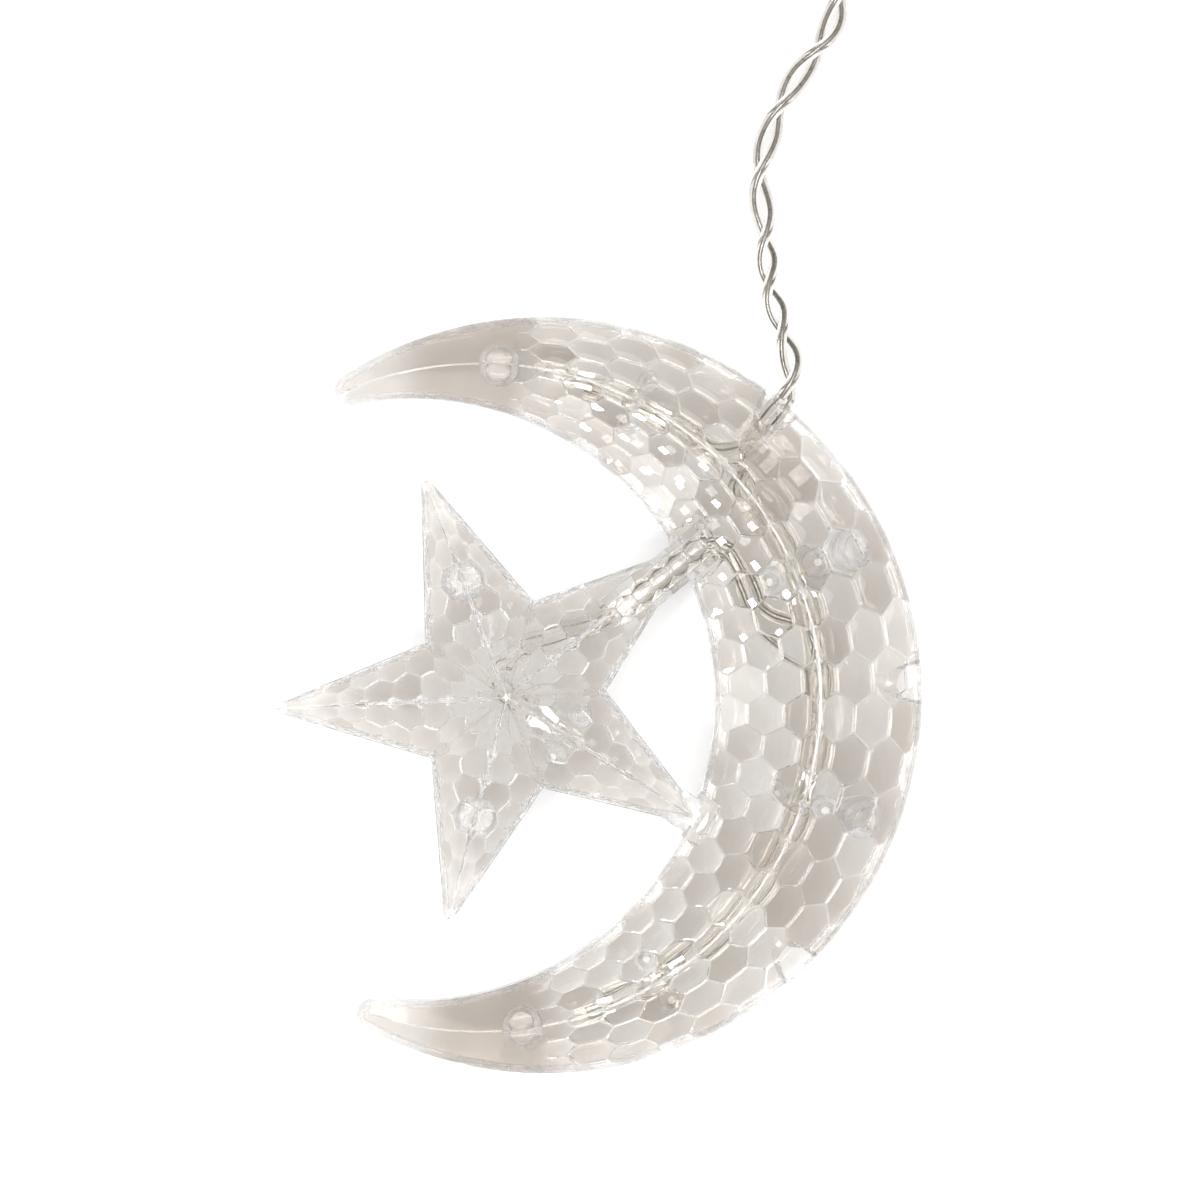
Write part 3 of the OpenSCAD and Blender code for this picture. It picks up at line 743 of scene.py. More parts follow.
def star_cutter(arm):
    end = STAR_TO[arm]
    least = NOSE_R if arm == NOSE_ARM else 0
    per_v = ROW / STAR_ROW_V
    bm = hex_sheet((0, int(end / STAR_CELL) + 2), STAR_ROWS, lambda x, y: True)
    cut_sheet(bm, (0, STAR_RIDGE_Y, 0), (0, -1, 0), True)
    cut_sheet(bm, (0, STAR_RIDGE_Y + SHEET_V * per_v, 0), (0, 1, 0), True)
    cut_sheet(bm, (STAR_FROM / STAR_CELL, 0, 0), (-1, 0, 0), True)
    cut_sheet(bm, (end / STAR_CELL, 0, 0), (1, 0, 0), True)
    for line in [STAR_BEAD_V * line for line in BEAD_LINES if line > 0] + list(EDGE_LINES):
        cut_sheet(bm, (0, STAR_RIDGE_Y + line * per_v, 0), (0, 1, 0))
    bmesh.ops.dissolve_degenerate(bm, dist=MERGE, edges=bm.edges)
    paint_cell_tones_and_light(bm, star_tone)
    paint_bead_highlight(bm, lambda middle: middle.y - STAR_RIDGE_Y < STAR_BEAD_V * per_v)
    for vert in bm.verts:
        s = vert.co.x * STAR_CELL
        past_waist = ease((s - WAIST_S) / WAIST_FADE)
        pull = 1 - WAIST_PULL + WAIST_PULL * past_waist
        v = max(0, (vert.co.y - STAR_RIDGE_Y) / per_v) * pull
        dome, groove = cell_shape(vert.co.x, vert.co.y)
        fade = (1 - ease((s - STAR_FADE_FROM) / STAR_FADE)) * ease(s / STAR_FADE)
        plain = (1 - ease((s - end + TIP_FADE) / TIP_FADE)) * ease((s - STAR_FROM) / MIDDLE_FADE)
        edge = (1 - v) * arm_width(s) + EDGE * (1 - plain * past_waist)
        fade = fade * ease(edge / EDGE - EDGE_CLEAR)
        relief = fade * (LENS * STAR_ROW_V * arm_width(s) * dome + STAR_GROOVE * groove)
        drop = roof_drop(v, STAR_BEAD_V, LEAST_SKIN + STAR_SKIN * plain, relief, edge)
        vert.co = star_at(s, v, drop, least)
    bmesh.ops.mirror(bm, geom=bm.verts[:] + bm.edges[:] + bm.faces[:], axis="Y", merge_dist=MERGE)
    close_cutter(bm, CUTTER_TOP)
    bmesh.ops.transform(bm, matrix=arm_turn(arm), verts=bm.verts)
    return bm


try_cutter("star", star_cutter(1))

# %% [markdown]
# The bridge that carries the wires to the star has a flat roof on the frame. On the real moulding
# its roof is dented and rounded over at both sides, so it gets a small sheet of its own.

# %% Cutter for the bridge
BRIDGE_FROM = 21.2
BRIDGE_TO = 41.6
BRIDGE_CELL = 3.4
BRIDGE_COLUMNS = (5, 13)
BRIDGE_ROWS = (-3, 3)
BRIDGE_PAST = 0.03
BRIDGE_BEND = 0.9
BRIDGE_FADE_FROM = 0.3
BRIDGE_FADE = 0.4
BRIDGE_SKIN = 0.06


def inner_roof(place):
    """The height of the moon's inner slope over a place."""
    return RIM_H + SLOPE * (math.hypot(place.x - BITE_X, place.y) - BITE_R)


def bridge_cutter():
    rows = BRIDGE_W / 2 / BRIDGE_CELL
    bm = hex_sheet(BRIDGE_COLUMNS, BRIDGE_ROWS, lambda x, y: True)
    for side in (-1, 1):
        cut_sheet(bm, (0, side * (rows + BRIDGE_PAST), 0), (0, side, 0), True)
        for line in EDGE_LINES[1:3]:
            cut_sheet(bm, (0, side * line * rows * BRIDGE_BEND, 0), (0, side, 0))
    cut_sheet(bm, (BRIDGE_FROM / BRIDGE_CELL, 0, 0), (-1, 0, 0), True)
    cut_sheet(bm, (BRIDGE_TO / BRIDGE_CELL, 0, 0), (1, 0, 0), True)
    bmesh.ops.dissolve_degenerate(bm, dist=MERGE, edges=bm.edges)
    paint_cell_tones_and_light(bm, lambda x, chance: TONE_OWN * chance)
    for vert in bm.verts:
        s, side = vert.co.x * BRIDGE_CELL, vert.co.y * BRIDGE_CELL
        dome, groove = cell_shape(vert.co.x, vert.co.y)
        place = by_arm(0, s, BRIDGE_SIDE + side, 0)
        plain = ease((BRIDGE_H - inner_roof(place) + BRIDGE_FADE_FROM) / BRIDGE_FADE)
        crown = EDGE * (2 * side / BRIDGE_W) ** 2
        dent = LENS * BRIDGE_CELL * dome + STAR_GROOVE * groove
        drop = LEAST_SKIN + plain * (BRIDGE_SKIN + dent + crown)
        place.z = max(BRIDGE_H, inner_roof(place)) - drop
        vert.co = place
    close_cutter(bm, CUTTER_TOP)
    return bm


try_cutter("bridge", bridge_cutter())

# %% [markdown]
# The three outlets are arches in the rim. On the frame each arch stops short inside the wall, and
# a lying cylinder of the same radius carries it through, so that its edge is one round curve.

# %% Cutter for an outlet
OUTLET_R = 3.5
OUTLET_FROM = 51
OUTLET_TO = MOON_R + 2
OUTLET_SEGMENTS = 96


def outlet_cutter(angle):
    bm = bmesh.new()
    run = OUTLET_TO - OUTLET_FROM
    spot = Matrix.Translation((MOON_X, 0, 0)) @ Matrix.Rotation(angle, 4, "Z")
    spot = spot @ Matrix.Translation((OUTLET_FROM + run / 2, 0, 0)) @ Matrix.Rotation(math.pi / 2, 4, "Y")
    bmesh.ops.create_cone(bm, cap_ends=True, segments=OUTLET_SEGMENTS, radius1=OUTLET_R, radius2=OUTLET_R,
                          depth=run, matrix=spot)
    tone_plain(bm, WALL_TONE)
    return bm


print("outlets at", [round(math.degrees(a)) for a in (-OUTLET_A, 0, OUTLET_A)], "degrees")

# %% [markdown]
# A pair of posts stands beside each of five lamps. Their tops have a sunk middle, which shows
# through the clear front as a ring in a disc. One cutter holds a blunt cone for each post.

# %% Cutter for the lamp posts
POST_OFF = 3.7
POST_H = 2.2
POST_ANGLES = (60, 20, -20, -60)
STAR_LAMP = 11.2
SINK_TOP = 1.3
SINK_FOOT = 0.5
SINK_DEPTH = 0.8
SINK_OVER = 0.05
SINK_SEGMENTS = 48


def post_tops():
    tops = []
    for side in (-POST_OFF, POST_OFF):
        tops += [by_ridge(t, side, POST_H) for t in POST_ANGLES]
        tops.append(by_arm(NOSE_ARM, STAR_LAMP, side, POST_H))
    return tops


def post_cutter():
    bm = bmesh.new()
    for top in post_tops():
        spot = Matrix.Translation(top + Vector((0, 0, SINK_OVER - SINK_DEPTH / 2 - PART_Z)))
        bmesh.ops.create_cone(bm, cap_ends=True, segments=SINK_SEGMENTS, radius1=SINK_FOOT, radius2=SINK_TOP,
                              depth=SINK_DEPTH, matrix=spot)
    # The sinks take the palest tone, the one that also paints the highlight on the ridge beads
    tone_plain(bm, CLEAR_AND_HIGHLIGHT_TONE)
    return bm


print("posts beside lamps:", 2 * len(POST_ANGLES) + 2)

# %% [markdown]
# ## The moulded halves
# The plastic is clear styrene. It holds a faint warm grey, a little stronger where a cell is
# thicker, and its polish is not quite even. Each cell's tone comes in with the cut, as a number on
# the corners of the cutter's faces. That number also carries painted light: a painted shade that
# leans across each cell and darkens the moon's outer slope, and painted highlight lines in the
# grooves and along the ridge beads. Pegs and upright walls are as the tool left them, with a
# crackled, frosted skin.

# %% Clear and frosted styrene
clear, shader, place = new_finish("clear_styrene", IOR=1.57, Transmission_Weight=1.0)
tone = place.node("ShaderNodeAttribute", {"attribute_name": "cell_tone_and_painted_light"}, {}, "Fac")
cloud = place.noise(55.0, 3.0)
# The attribute gives each cell's tone together with painted shade and painted highlights
depth = 0.1 + 0.72 * tone + 0.27 * cloud
feed(shader, Base_Color=depth.blend((0.60, 0.551, 0.50), (1.0, 0.99, 0.975)))
feed(shader, Roughness=0.012 + 0.04 * place.noise(140.0))

frosted, shader, place = new_finish("frosted_styrene", IOR=1.57, Transmission_Weight=1.0)
voronoi = {"Vector": place, "Scale": 900.0}
crackle = place.node("ShaderNodeTexVoronoi", {"feature": "DISTANCE_TO_EDGE"}, voronoi, "Distance")
feed(shader, Base_Color=crackle.blend((0.885, 0.885, 0.892), (0.985, 0.985, 0.99)))
feed(shader, Roughness=0.12 + 0.26 * place.noise(300.0))
feed(shader, Normal=place.bump(crackle, 0.6, 0.15))
print("styrene ready:", clear.name, frosted.name)

# %% Cut the relief into both halves
CELL_SHARP = 7
WALL_SHARP = 25
PARTING_GAP = 0.03
FROST_H = 2.6
UPRIGHT = 0.35
FLAT = 0.97


def cut_by(blank, bm, way):
    """Takes a cutter off a piece, on the front (1) or mirrored on the back (-1)."""
    stretch = Matrix.Diagonal((MM, MM, way * MM, 1))
    bmesh.ops.transform(bm, matrix=Matrix.Translation((0, 0, PART_Z * MM)) @ stretch, verts=bm.verts)
    bmesh.ops.recalc_face_normals(bm, faces=bm.faces)
    cutter = bake_piece("cutter", bm, [clear, frosted])
    cut = blank.modifiers.new("relief", "BOOLEAN")
    cut.operation = "DIFFERENCE"
    cut.solver = "MANIFOLD"
    cut.material_mode = "INDEX"
    cut.object = cutter
    shown = blank.evaluated_get(bpy.context.evaluated_depsgraph_get())
    mesh = bpy.data.meshes.new_from_object(shown)
    blank.modifiers.clear()
    blank.data = mesh
    bpy.data.objects.remove(cutter)


def moulded_half(name, node, way):
    """A copy of a shell with its relief cut in, on the front (1) or the back (-1)."""
    bm = bmesh.new()
    bm.from_mesh(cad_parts[node].data)
    bmesh.ops.remove_doubles(bm, verts=bm.verts, dist=1e-7)
    tone = bm.loops.layers.float.new("cell_tone_and_painted_light")
    for face in bm.faces:
        face.material_index = 0
        for corner in face.loops:
            corner[tone] = WALL_TONE
    half = bake_piece(name, bm, [clear, frosted])
    outlets = [outlet_cutter(angle) for angle in (-OUTLET_A, 0, OUTLET_A) if way > 0]
    for cutter in [moon_cutter(), bridge_cutter()] + [star_cutter(arm) for arm in range(5)] + outlets:
        cut_by(half, cutter, way)
    if way < 0:
        cut_by(half, post_cutter(), 1)
    bm = bmesh.new()
    bm.from_mesh(half.data)
    for edge in bm.edges:
        relief = all(face.material_index for face in edge.link_faces)
        edge.smooth = edge.calc_face_angle(0) < math.radians(CELL_SHARP if relief else WALL_SHARP)
    for face in bm.faces:
        level = abs(face.calc_center_median().z / MM - PART_Z)
        upright = abs(face.normal.z) < UPRIGHT
        flat = abs(face.normal.z) > FLAT and level < FROST_H
        face.material_index = 1 if (upright or flat) and not face.material_index else 0
        face.smooth = True
    for vert in bm.verts:
        if abs(vert.co.z - PART_Z * MM) < 1e-6:
            vert.co.z += way * PARTING_GAP * MM
    bm.to_mesh(half.data)
    bm.free()
    return half


front_moulding = moulded_half("front_moulding", "front_shell", 1)
settle(front_moulding, "front_half", "clear_plastic", "front_shell")
back_moulding = moulded_half("back_moulding", "back_shell", -1)
settle(back_moulding, "back_half", "clear_plastic", "back_shell")
print("moulded halves:", len(front_moulding.data.polygons), len(back_moulding.data.polygons), "faces")

# %% [markdown]
# ## Wires inside
# Two buses run under the ridge and carry the lamps. Two wires branch off to the star through the
# bridge, and the lead's two strands come in through the outlet. All are clear vinyl over a fine
# core, which is thicker only where the star's wires show. Inside the star they can hardly be seen,
# so there they get a fainter vinyl that bends light less.

# %% Faint vinyl
faint, shader, place = new_finish("faint_vinyl", IOR=1.12, Transmission_Weight=1.0)
mist = place.noise(260.0)
feed(shader, Base_Color=mist.blend((0.95, 0.945, 0.935), (1.0, 0.995, 0.985)))
feed(shader, Roughness=0.02 + 0.04 * mist)
print("vinyl inside the star:", faint.name)

# %% Buses, star wires and the lead's inner ends
WIRE_R = 0.75
WIRE_CORE_R = 0.22
FINE_CORE_R = 0.1
BUS_Z = -2.7
BUS_END = 69.5
BUS_STEPS = 60
WIRE_STEPS = 5
LEG_OFF = 1.05
SHOWN_STOPS = 3
TAP_GAP = 0.05
TAP_Z = BUS_Z + 2 * WIRE_R + TAP_GAP
STRAND_TAP_Z = BUS_Z + WIRE_R + STRAND_R + TAP_GAP


def insulated(name, line, radius, node):
    core = tube(line, FINE_CORE_R, CORE_ROUNDING)
    piece = join_piece(name, [(tube(line, radius), vinyl), (core, tinned)])
    return settle(piece, "back_half", "wire_insulation", node)


for side, word in ((1, "positive"), (-1, "negative")):
    angles = [BUS_END * (i / BUS_STEPS - 1) for i in range(2 * BUS_STEPS + 1)]
    bus = [by_ridge(t, side * LEG_OFF, BUS_Z) for t in angles]
    insulated("bus_" + word, bus, WIRE_R, "bus_wire_" + word)

star_routes = {
    "positive": ([(5, LEG_OFF, TAP_Z), (7.8, LEG_OFF, TAP_Z), (9.2, 0.8, -1.05), (10.6, -0.6, -0.6),
                  (12, -2.8, -0.3), (14, -5.3, -0.2), (16.5, -6.5, -0.1), (20, -6.6, 0), (23.5, -6.6, 0),
                  (27, -6.6, 0), (30.4, -7, 0), (32.6, -8.4, 0)],
                 [(39, 0.2), (34, 0.2), (30, 0.2), (24, 0.2), (18, 1), (13, 3.2), (8, 4.8), (4, 5.4),
                  (2, 5.2), (0, 3.8), (-1, 1.6), (-0.9, -0.7), (-0.2, -2.9), (0.5, -5.1)]),
    "negative": ([(-1.6, -LEG_OFF, TAP_Z), (1.4, -LEG_OFF, TAP_Z), (2.8, -1.4, -1.1), (4.4, -2.8, -0.85),
                  (6.5, -5, -0.5), (10, -7.4, -0.2), (15, -8.3, 0), (20, -8.4, 0), (23.5, -8.4, 0),
                  (27.2, -8.5, 0), (29.6, -9.1, 0)],
                 [(38.5, -1.6), (34, -1.6), (30, -1.6), (24, -1.6), (18, -0.8), (13, 1.2), (8, 2.8),
                  (4.7, 3.4), (3, 3.2), (1.9, 2.5), (1.2, 1.1), (1.3, -0.5), (1.9, -2.4), (2.6, -4.4)])}
for word, (in_moon, in_star) in star_routes.items():
    stops = [by_ridge(*q) for q in in_moon] + [by_arm(0, s, side, 0) for s, side in in_star]
    line = smooth_line(stops, WIRE_STEPS)
    cut = WIRE_STEPS * (len(in_moon) + SHOWN_STOPS)
    shown, hidden = line[:cut + 1], line[cut:]
    wire = join_piece("star_wire_clear_" + word, [
        (tube(shown, WIRE_R), vinyl), (tube(hidden, WIRE_R), faint),
        (tube(shown, WIRE_CORE_R, CORE_ROUNDING), tinned),
        (tube(hidden, FINE_CORE_R, CORE_ROUNDING), tinned)])
    settle(wire, "back_half", "wire_insulation", "star_wire_" + word)

strand_outlet = [(58.4, 2.0), (56.2, 0.4), (55, 0.4), (53, 0.4), (51, 0.4), (50, 0.4)]
strand_ends = {
    "positive": [(43.2, 2.7, 0.1), (44.4, 1.7, -0.5), (45.8, 1.15, -0.95), (47.2, LEG_OFF, STRAND_TAP_Z),
                 (49.6, LEG_OFF, STRAND_TAP_Z)],
    "negative": [(39.5, 2.6, 0.2), (38.9, 1.2, -0.1), (38.2, -0.1, -0.5), (37.2, -0.85, -0.9),
                 (36, -LEG_OFF, STRAND_TAP_Z), (33.8, -LEG_OFF, STRAND_TAP_Z)]}
outlet_way = Vector((math.cos(OUTLET_A), math.sin(OUTLET_A), 0))
outlet_left = Vector((-outlet_way.y, outlet_way.x, 0))
for (word, ends), side, strand in zip(strand_ends.items(), (1, -1), strands):
    stops = [strand[0]] + [Vector((MOON_X, 0, PART_Z + z)) + r * outlet_way + side * outlet_left
                           for r, z in strand_outlet] + [by_ridge(*q) for q in ends]
    insulated("lead_end_" + word, smooth_line(stops, WIRE_STEPS), STRAND_R, "lead_strand_" + word)
print("wires inside: buses, star wires and lead ends")

# %% [markdown]
# ## Lamps, sleeves and anchor
# The frame's lamps already have their true shape: a domed lens on a flange, a cup and post with
# two legs, and a dot of phosphor. They stay, and only their finishes are made here.

# %% Finishes of the small parts
epoxy, shader, place = new_finish("lamp_epoxy", IOR=1.54, Transmission_Weight=1.0)
bubble = place.noise(700.0)
feed(shader, Base_Color=bubble.blend((0.95, 0.94, 0.90), (1.0, 0.995, 0.98)))
feed(shader, Roughness=0.01 + 0.03 * bubble)

phosphor, shader, place = new_finish("lamp_phosphor")
grain = place.noise(2500.0, 4.0)
feed(shader, Base_Color=grain.blend((0.80, 0.58, 0.16), (0.96, 0.80, 0.36)))
feed(shader, Roughness=0.6 + 0.2 * grain)

steel, shader, place = new_finish("tinned_steel", Metallic=1.0)
scuff = place.noise(1200.0, 3.0)
feed(shader, Base_Color=scuff.blend((0.52, 0.51, 0.49), (0.80, 0.79, 0.77)))
feed(shader, Roughness=0.18 + 0.25 * scuff)
feed(shader, Normal=place.bump(scuff, 0.3, 0.03))

sleeving, shader, place = new_finish("clear_sleeving", IOR=1.48, Transmission_Weight=1.0)
shrink = place.noise(600.0)
feed(shader, Base_Color=shrink.blend((0.90, 0.895, 0.88), (0.98, 0.975, 0.965)))
feed(shader, Roughness=0.06 + 0.12 * shrink)


def dress(node, material):
    """A CAD node keeps its shape and gets a finish."""
    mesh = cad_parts[node].data
    mesh.materials.clear()
    mesh.materials.append(material)


for number in range(1, 8):
    dress(f"lamp_lens_{number}", epoxy)
    dress(f"lamp_frame_{number}", steel)
dress("lamp_phosphors", phosphor)
dress("splice_sleeves", sleeving)
dress("lead_anchor", sleeving)
print("lamps, sleeves and anchor have their finishes")

# %% [markdown]
# ## The tie round the coil
# A twist tie is a ribbon of soft vinyl with a wire in its middle. A ring of faces is pressed into
# a rounded square round the coil, its middle row stands proud over the wire, and Solidify gives it
# its thickness. The two ends are one ribbon that is twisted on itself.

# %% Tie
tie_vinyl, shader, place = new_finish("tie_vinyl")
ribs = place.noise(420.0, 4.0)
feed(shader, Base_Color=ribs.blend((0.58, 0.58, 0.565), (0.76, 0.76, 0.745)))
feed(shader, Roughness=0.38 + 0.2 * ribs)
feed(shader, Normal=place.bump(ribs, 0.25, 0.06))

TIE_HALF = 4.875
TIE_W = 4
TIE_T = 0.5
TIE_A = math.radians(45)
TIE_R = 22.5
TIE_TAIL = 8
TIE_CORNER = 5
TIE_ROWS = 8
TIE_SEGMENTS = 72
TIE_SHARP = 40
TIE_WIRE = 0.16
TIE_WIRE_HALF = 0.7
TIE_THIN = 0.7
TIE_RAISED = 0.25
TAIL_T = 0.35
TAIL_MID = 0.17
TAIL_W = 1.5
TAIL_TURN = 5 * math.pi
TAIL_TUCK = 0.3
TAIL_STEPS = 40
TAIL_ROWS = 4


def tie_ring():
    bm = bmesh.new()
    ring = bmesh.ops.create_circle(bm, cap_ends=False, segments=TIE_SEGMENTS, radius=1)["verts"]
    for vert in ring:
        a = math.atan2(vert.co.y, vert.co.x)
        grow = (abs(math.cos(a)) ** TIE_CORNER + abs(math.sin(a)) ** TIE_CORNER) ** (-1 / TIE_CORNER)
        vert.co = Vector((math.cos(a) * grow, 0, math.sin(a) * grow)) * TIE_HALF
        vert.co.y = -TIE_W / 2
    edges = bm.edges[:]
    for step in range(TIE_ROWS):
        made = bmesh.ops.extrude_edge_only(bm, edges=edges)["geom"]
        edges = [item for item in made if isinstance(item, bmesh.types.BMEdge)]
        for item in made:
            if isinstance(item, bmesh.types.BMVert):
                item.co.y += TIE_W / TIE_ROWS
    for vert in bm.verts:
        proud = TIE_WIRE * max(0, 1 - abs(vert.co.y) / TIE_WIRE_HALF)
        vert.co += proud * Vector((vert.co.x, 0, vert.co.z)).normalized()
    bmesh.ops.recalc_face_normals(bm, faces=bm.faces)
    bmesh.ops.solidify(bm, geom=bm.faces[:], thickness=TIE_T * TIE_THIN)
    return bm


def tie_tail():
    bm = bmesh.new()
    bmesh.ops.create_grid(bm, x_segments=TAIL_STEPS, y_segments=TAIL_ROWS, size=0.5)
    bmesh.ops.solidify(bm, geom=bm.faces[:], thickness=TAIL_T)
    for vert in bm.verts:
        along = vert.co.x + 0.5
        turn = TAIL_TURN * along
        wide = vert.co.y * TAIL_W
        thick = vert.co.z + TAIL_MID
        vert.co = Vector((TIE_HALF + TIE_TAIL * along - TAIL_TUCK,
                          wide * math.cos(turn) - thick * math.sin(turn),
                          wide * math.sin(turn) + thick * math.cos(turn)))
    return bm


def gather(shapes, matrix):
    """One bmesh, in metres, from shapes that were made in millimetres and are set in their place."""
    whole = bmesh.new()
    for shape in shapes:
        bmesh.ops.transform(shape, matrix=Matrix.Scale(MM, 4) @ matrix, verts=shape.verts)
        for face in shape.faces:
            face.smooth = True
        mesh = bpy.data.meshes.new("shape")
        shape.to_mesh(mesh)
        shape.free()
        whole.from_mesh(mesh)
        bpy.data.meshes.remove(mesh)
    return whole


tie_middle = COIL_C + Vector((0, 0, TIE_HALF + TIE_RAISED))
tie_place = Matrix.Translation(tie_middle) @ Matrix.Rotation(TIE_A, 4, "Z")
tie_place = tie_place @ Matrix.Translation((TIE_R, 0, 0))
tie_bm = gather((tie_ring(), tie_tail()), tie_place)
bmesh.ops.recalc_face_normals(tie_bm, faces=tie_bm.faces)
twist_tie = bake_piece("twist_tie", tie_bm, [tie_vinyl], TIE_SHARP)
settle(twist_tie, "back_half", "tie_plastic", "coil_tie")
print("tie:", len(twist_tie.data.polygons), "faces")

# %% [markdown]
# ## The plug
# The far end is a small two-pin plug with a coupling collar that turns. Its pieces are all turned
# shapes, so each is a profile that is spun about the plug's axis.

# %% Finishes of the plug
milky, shader, place = new_finish("milky_vinyl", IOR=1.5, Transmission_Weight=0.35)
mould = place.noise(180.0, 4.0)
feed(shader, Base_Color=mould.blend((0.56, 0.555, 0.54), (0.72, 0.715, 0.70)))
feed(shader, Roughness=0.28 + 0.15 * mould)
feed(shader, Normal=place.bump(place.noise(900.0), 0.12, 0.05))

brass, shader, place = new_finish("turned_brass", Metallic=1.0)
turned = place.noise(1600.0, 2.0)
feed(shader, Base_Color=turned.blend((0.58, 0.42, 0.17), (0.86, 0.69, 0.36)))
feed(shader, Roughness=0.18 + 0.2 * turned)

rubber, shader, place = new_finish("seal_ring")
dust = place.noise(900.0, 3.0)
feed(shader, Base_Color=dust.blend((0.018, 0.018, 0.02), (0.06, 0.06, 0.064)))
feed(shader, Roughness=0.5 + 0.2 * dust)
print("plug finishes:", milky.name, brass.name, rubber.name)

# %% Turned pieces of the plug
PLUG_P = Vector((COIL_C.x - COIL_OUT, COIL_C.y + COIL_R, PLUG_Z))
PLUG_SEGMENTS = 64
PLUG_SHARP = 35
plug_place = Matrix.Translation(PLUG_P) @ Matrix.Rotation(-math.pi / 2, 4, "Y")


def turned_shape(profile, segments=PLUG_SEGMENTS):
    """Spins a closed or axis-to-axis profile of radius and height pairs about Z."""
    bm = bmesh.new()
    verts = [bm.verts.new((r, 0, h)) for r, h in profile]
    edges = [bm.edges.new(pair) for pair in zip(verts, verts[1:])]
    bmesh.ops.spin(bm, geom=verts + edges, cent=(0, 0, 0), axis=(0, 0, 1), angle=2 * math.pi,
                   steps=segments, use_merge=True)
    bmesh.ops.remove_doubles(bm, verts=bm.verts, dist=MERGE)
    bmesh.ops.recalc_face_normals(bm, faces=bm.faces)
    return bm


def plug_piece(name, shapes, material, slot, body, node):
    """One piece from shapes along Z, laid along the plug's axis."""
    piece = bake_piece(name, gather(shapes, plug_place), [material], PLUG_SHARP)
    return settle(piece, body, slot, node)


BOOT_R = 2.4
BOOT_GROWS = 1.4
BOOT_LENGTH = 16
BOOT_RIBS = 7
RIB_FROM = 1.6
RIB_STEP = 1.9
RIB_DEPTH = 0.45
boot_profile = [(0, 0), (2.2, 0), (BOOT_R, 0.3)]
for step in range(BOOT_RIBS):
    at = RIB_FROM + RIB_STEP * step
    reach = BOOT_R + BOOT_GROWS * at / BOOT_LENGTH
    root = reach - RIB_DEPTH
    boot_profile += [(reach, at), (root, at + 0.15), (root, at + 0.75), (reach, at + 0.9)]
boot_profile += [(3.8, 15.7), (3.7, BOOT_LENGTH), (0, BOOT_LENGTH)]
boot = plug_piece("boot", [turned_shape(boot_profile)], milky, "plug_plastic", "back_half", "plug_boot")

body_profile = [(0, 16), (4.2, 16), (4.6, 16.4), (4.6, 18), (4.35, 18.4), (4.35, 19.4), (4.6, 19.8),
                (4.6, 21), (4.35, 21.4), (4.35, 22.4), (4.6, 22.8), (4.6, 26.6), (4.2, 27), (3.5, 27),
                (3.5, 30.6), (4.1, 30.6), (4.2, 30.75), (4.2, 32.4), (4.0, 32.6), (3.2, 32.6), (3.2, 34.2),
                (2.9, 34.5), (0, 34.5)]
body_piece = plug_piece("plug_barrel", [turned_shape(body_profile)], milky, "plug_plastic", "back_half",
                        "plug_body")

pin_profile = [(0, 34.4), (0.75, 34.4), (0.75, 39.7), (0.66, 40.1), (0.45, 40.38), (0, 40.5)]
PIN_OFF = 1.5
PIN_SEGMENTS = 32
pins = []
for side in (-PIN_OFF, PIN_OFF):
    pin = turned_shape(pin_profile, PIN_SEGMENTS)
    bmesh.ops.translate(pin, vec=(0, side, 0), verts=pin.verts)
    pins.append(pin)
contacts = plug_piece("contacts", pins, brass, "contact_brass", "back_half", "plug_contacts")

SEAL_R = 3.95
SEAL_Z = 33.4
SEAL_ROUND = 0.7
SEAL_STEPS = 16
ring_angles = [2 * math.pi * i / SEAL_STEPS for i in range(SEAL_STEPS + 1)]
ring_profile = [(SEAL_R + SEAL_ROUND * math.cos(a), SEAL_Z + SEAL_ROUND * math.sin(a)) for a in ring_angles]
seal = plug_piece("seal", [turned_shape(ring_profile)], rubber, "seal_rubber", "back_half", "plug_seal")

collar_profile = [(3.56, 27.3), (5.5, 27.3), (5.8, 27.6), (5.8, 28.4), (6.0, 28.6), (6.0, 30), (6.0, 33),
                  (6.0, 36), (6.0, 39.4), (5.8, 39.6), (5.8, 41.6), (5.5, 42), (5.2, 42), (5.0, 41.7),
                  (5.0, 30.3), (3.56, 30.3), (3.56, 27.3)]
GRIP_FROM = 5.95
GRIP_RIBS = 24
GRIP_DEPTH = 0.1
COLLAR_SEGMENTS = 144
collar_shape = turned_shape(collar_profile, COLLAR_SEGMENTS)
for vert in collar_shape.verts:
    reach = math.hypot(vert.co.x, vert.co.y)
    if reach > GRIP_FROM:
        groove = GRIP_DEPTH * (1 + math.cos(GRIP_RIBS * math.atan2(vert.co.y, vert.co.x)))
        vert.co.x *= (reach - groove) / reach
        vert.co.y *= (reach - groove) / reach
collar = plug_piece("collar_ring", [collar_shape], milky, "plug_plastic", "collar", "plug_collar")
print("plug:", boot.name, body_piece.name, contacts.name, seal.name, collar.name)

# %% Cord facts
lead_length * MM
[tuple(p * MM) for p in lead_line]
print("cord declared:", round(lead_length * MM, 3), "m")
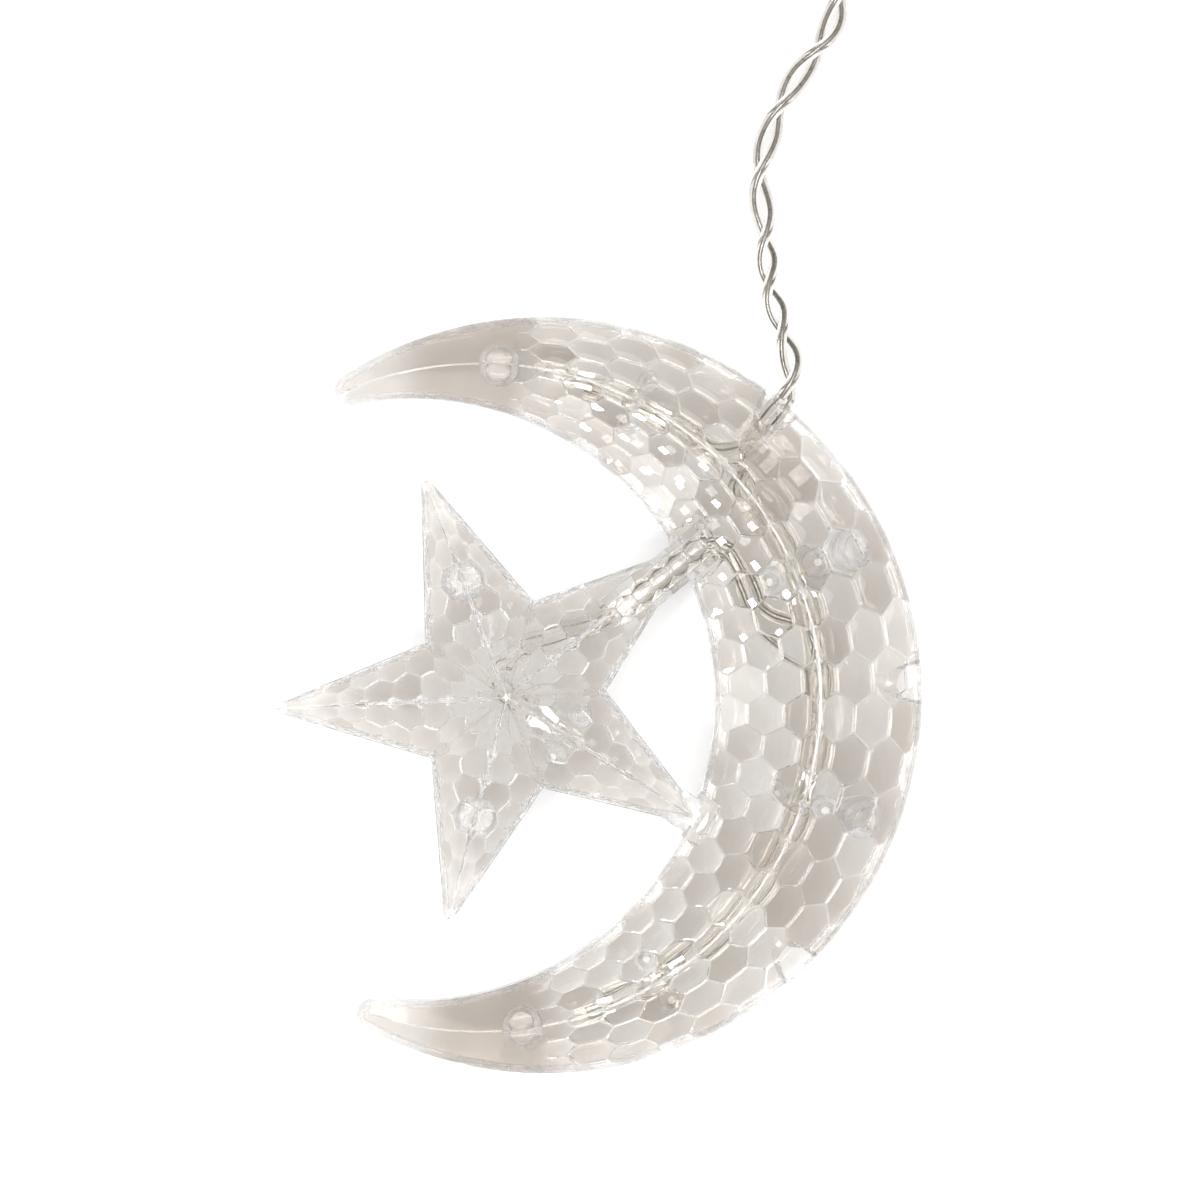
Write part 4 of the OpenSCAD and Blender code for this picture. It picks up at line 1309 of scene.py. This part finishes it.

# %% [markdown]
# ## Floor and light
# The pendant lies on a plain pale surface under soft light. The sky is brightest overhead and
# greyer near the horizon, which draws the grey lines along bent edges of the clear plastic. A soft
# box low on the left gives the white glints in the cells beside the ridge. A small one overhead is
# there only to be mirrored: it draws the white lines along the strands, and along the ridges on top
# of the highlight painted on the ridge beads.

# %% Floor, sky and soft boxes
FLOOR_HALF = 2.5
BOUNCES = 64
GLINT_CLAMP = 6
floor_paint, shader, place = new_finish("pale_floor", Roughness=0.9, Emission_Strength=0.5)
shader.inputs["Emission Color"].default_value = (1, 1, 1, 1)
wash = place.noise(6.0)
feed(shader, Base_Color=wash.blend((0.58, 0.579, 0.577), (0.62, 0.619, 0.617)))
floor_bm = bmesh.new()
bmesh.ops.create_grid(floor_bm, x_segments=2, y_segments=2, size=FLOOR_HALF)
floor = bake_piece("floor", floor_bm, [floor_paint])

world = bpy.data.worlds.new("studio")
bpy.context.scene.world = world
world.use_nodes = True
tree = world.node_tree
coords = Flow(tree, tree.nodes.new("ShaderNodeTexCoord").outputs["Generated"])
up = coords.node("ShaderNodeSeparateXYZ", {}, {0: coords}, "Z")
rise = up.node("ShaderNodeMapRange", {"interpolation_type": "SMOOTHSTEP"},
               {"Value": up, "From Min": 0.0, "From Max": 0.75})
sky = rise.blend((0.42, 0.415, 0.41), (1.0, 0.995, 0.99))
background = tree.nodes["Background"]
tree.links.new(sky.socket, background.inputs["Color"])
background.inputs["Strength"].default_value = 1.0


def soft_box(name, place, size, power):
    """A square area light that looks at the pendant."""
    data = bpy.data.lights.new(name, "AREA")
    data.size = size
    data.energy = power
    light = bpy.data.objects.new(name, data)
    light.location = place
    light.rotation_euler = (Vector((0, 0, 0)) - Vector(place)).to_track_quat("-Z", "Y").to_euler()
    bpy.context.scene.collection.objects.link(light)
    return light


soft_box("glint_box", (-0.74, -0.58, 0.97), size=0.17, power=8)
soft_box("top_box", (0.2, 0.3, 1.6), size=1.4, power=12)
ridge_box = soft_box("ridge_box", (0.02, 0.02, 1.6), size=0.6, power=8)
ridge_box.visible_diffuse = False
scene = bpy.context.scene
scene.view_settings.view_transform = "Standard"
scene.cycles.max_bounces = BOUNCES
scene.cycles.transmission_bounces = BOUNCES
scene.cycles.glossy_bounces = BOUNCES
scene.cycles.sample_clamp_indirect = GLINT_CLAMP
scene.cycles.use_denoising = True
print("floor, sky and lights are set")
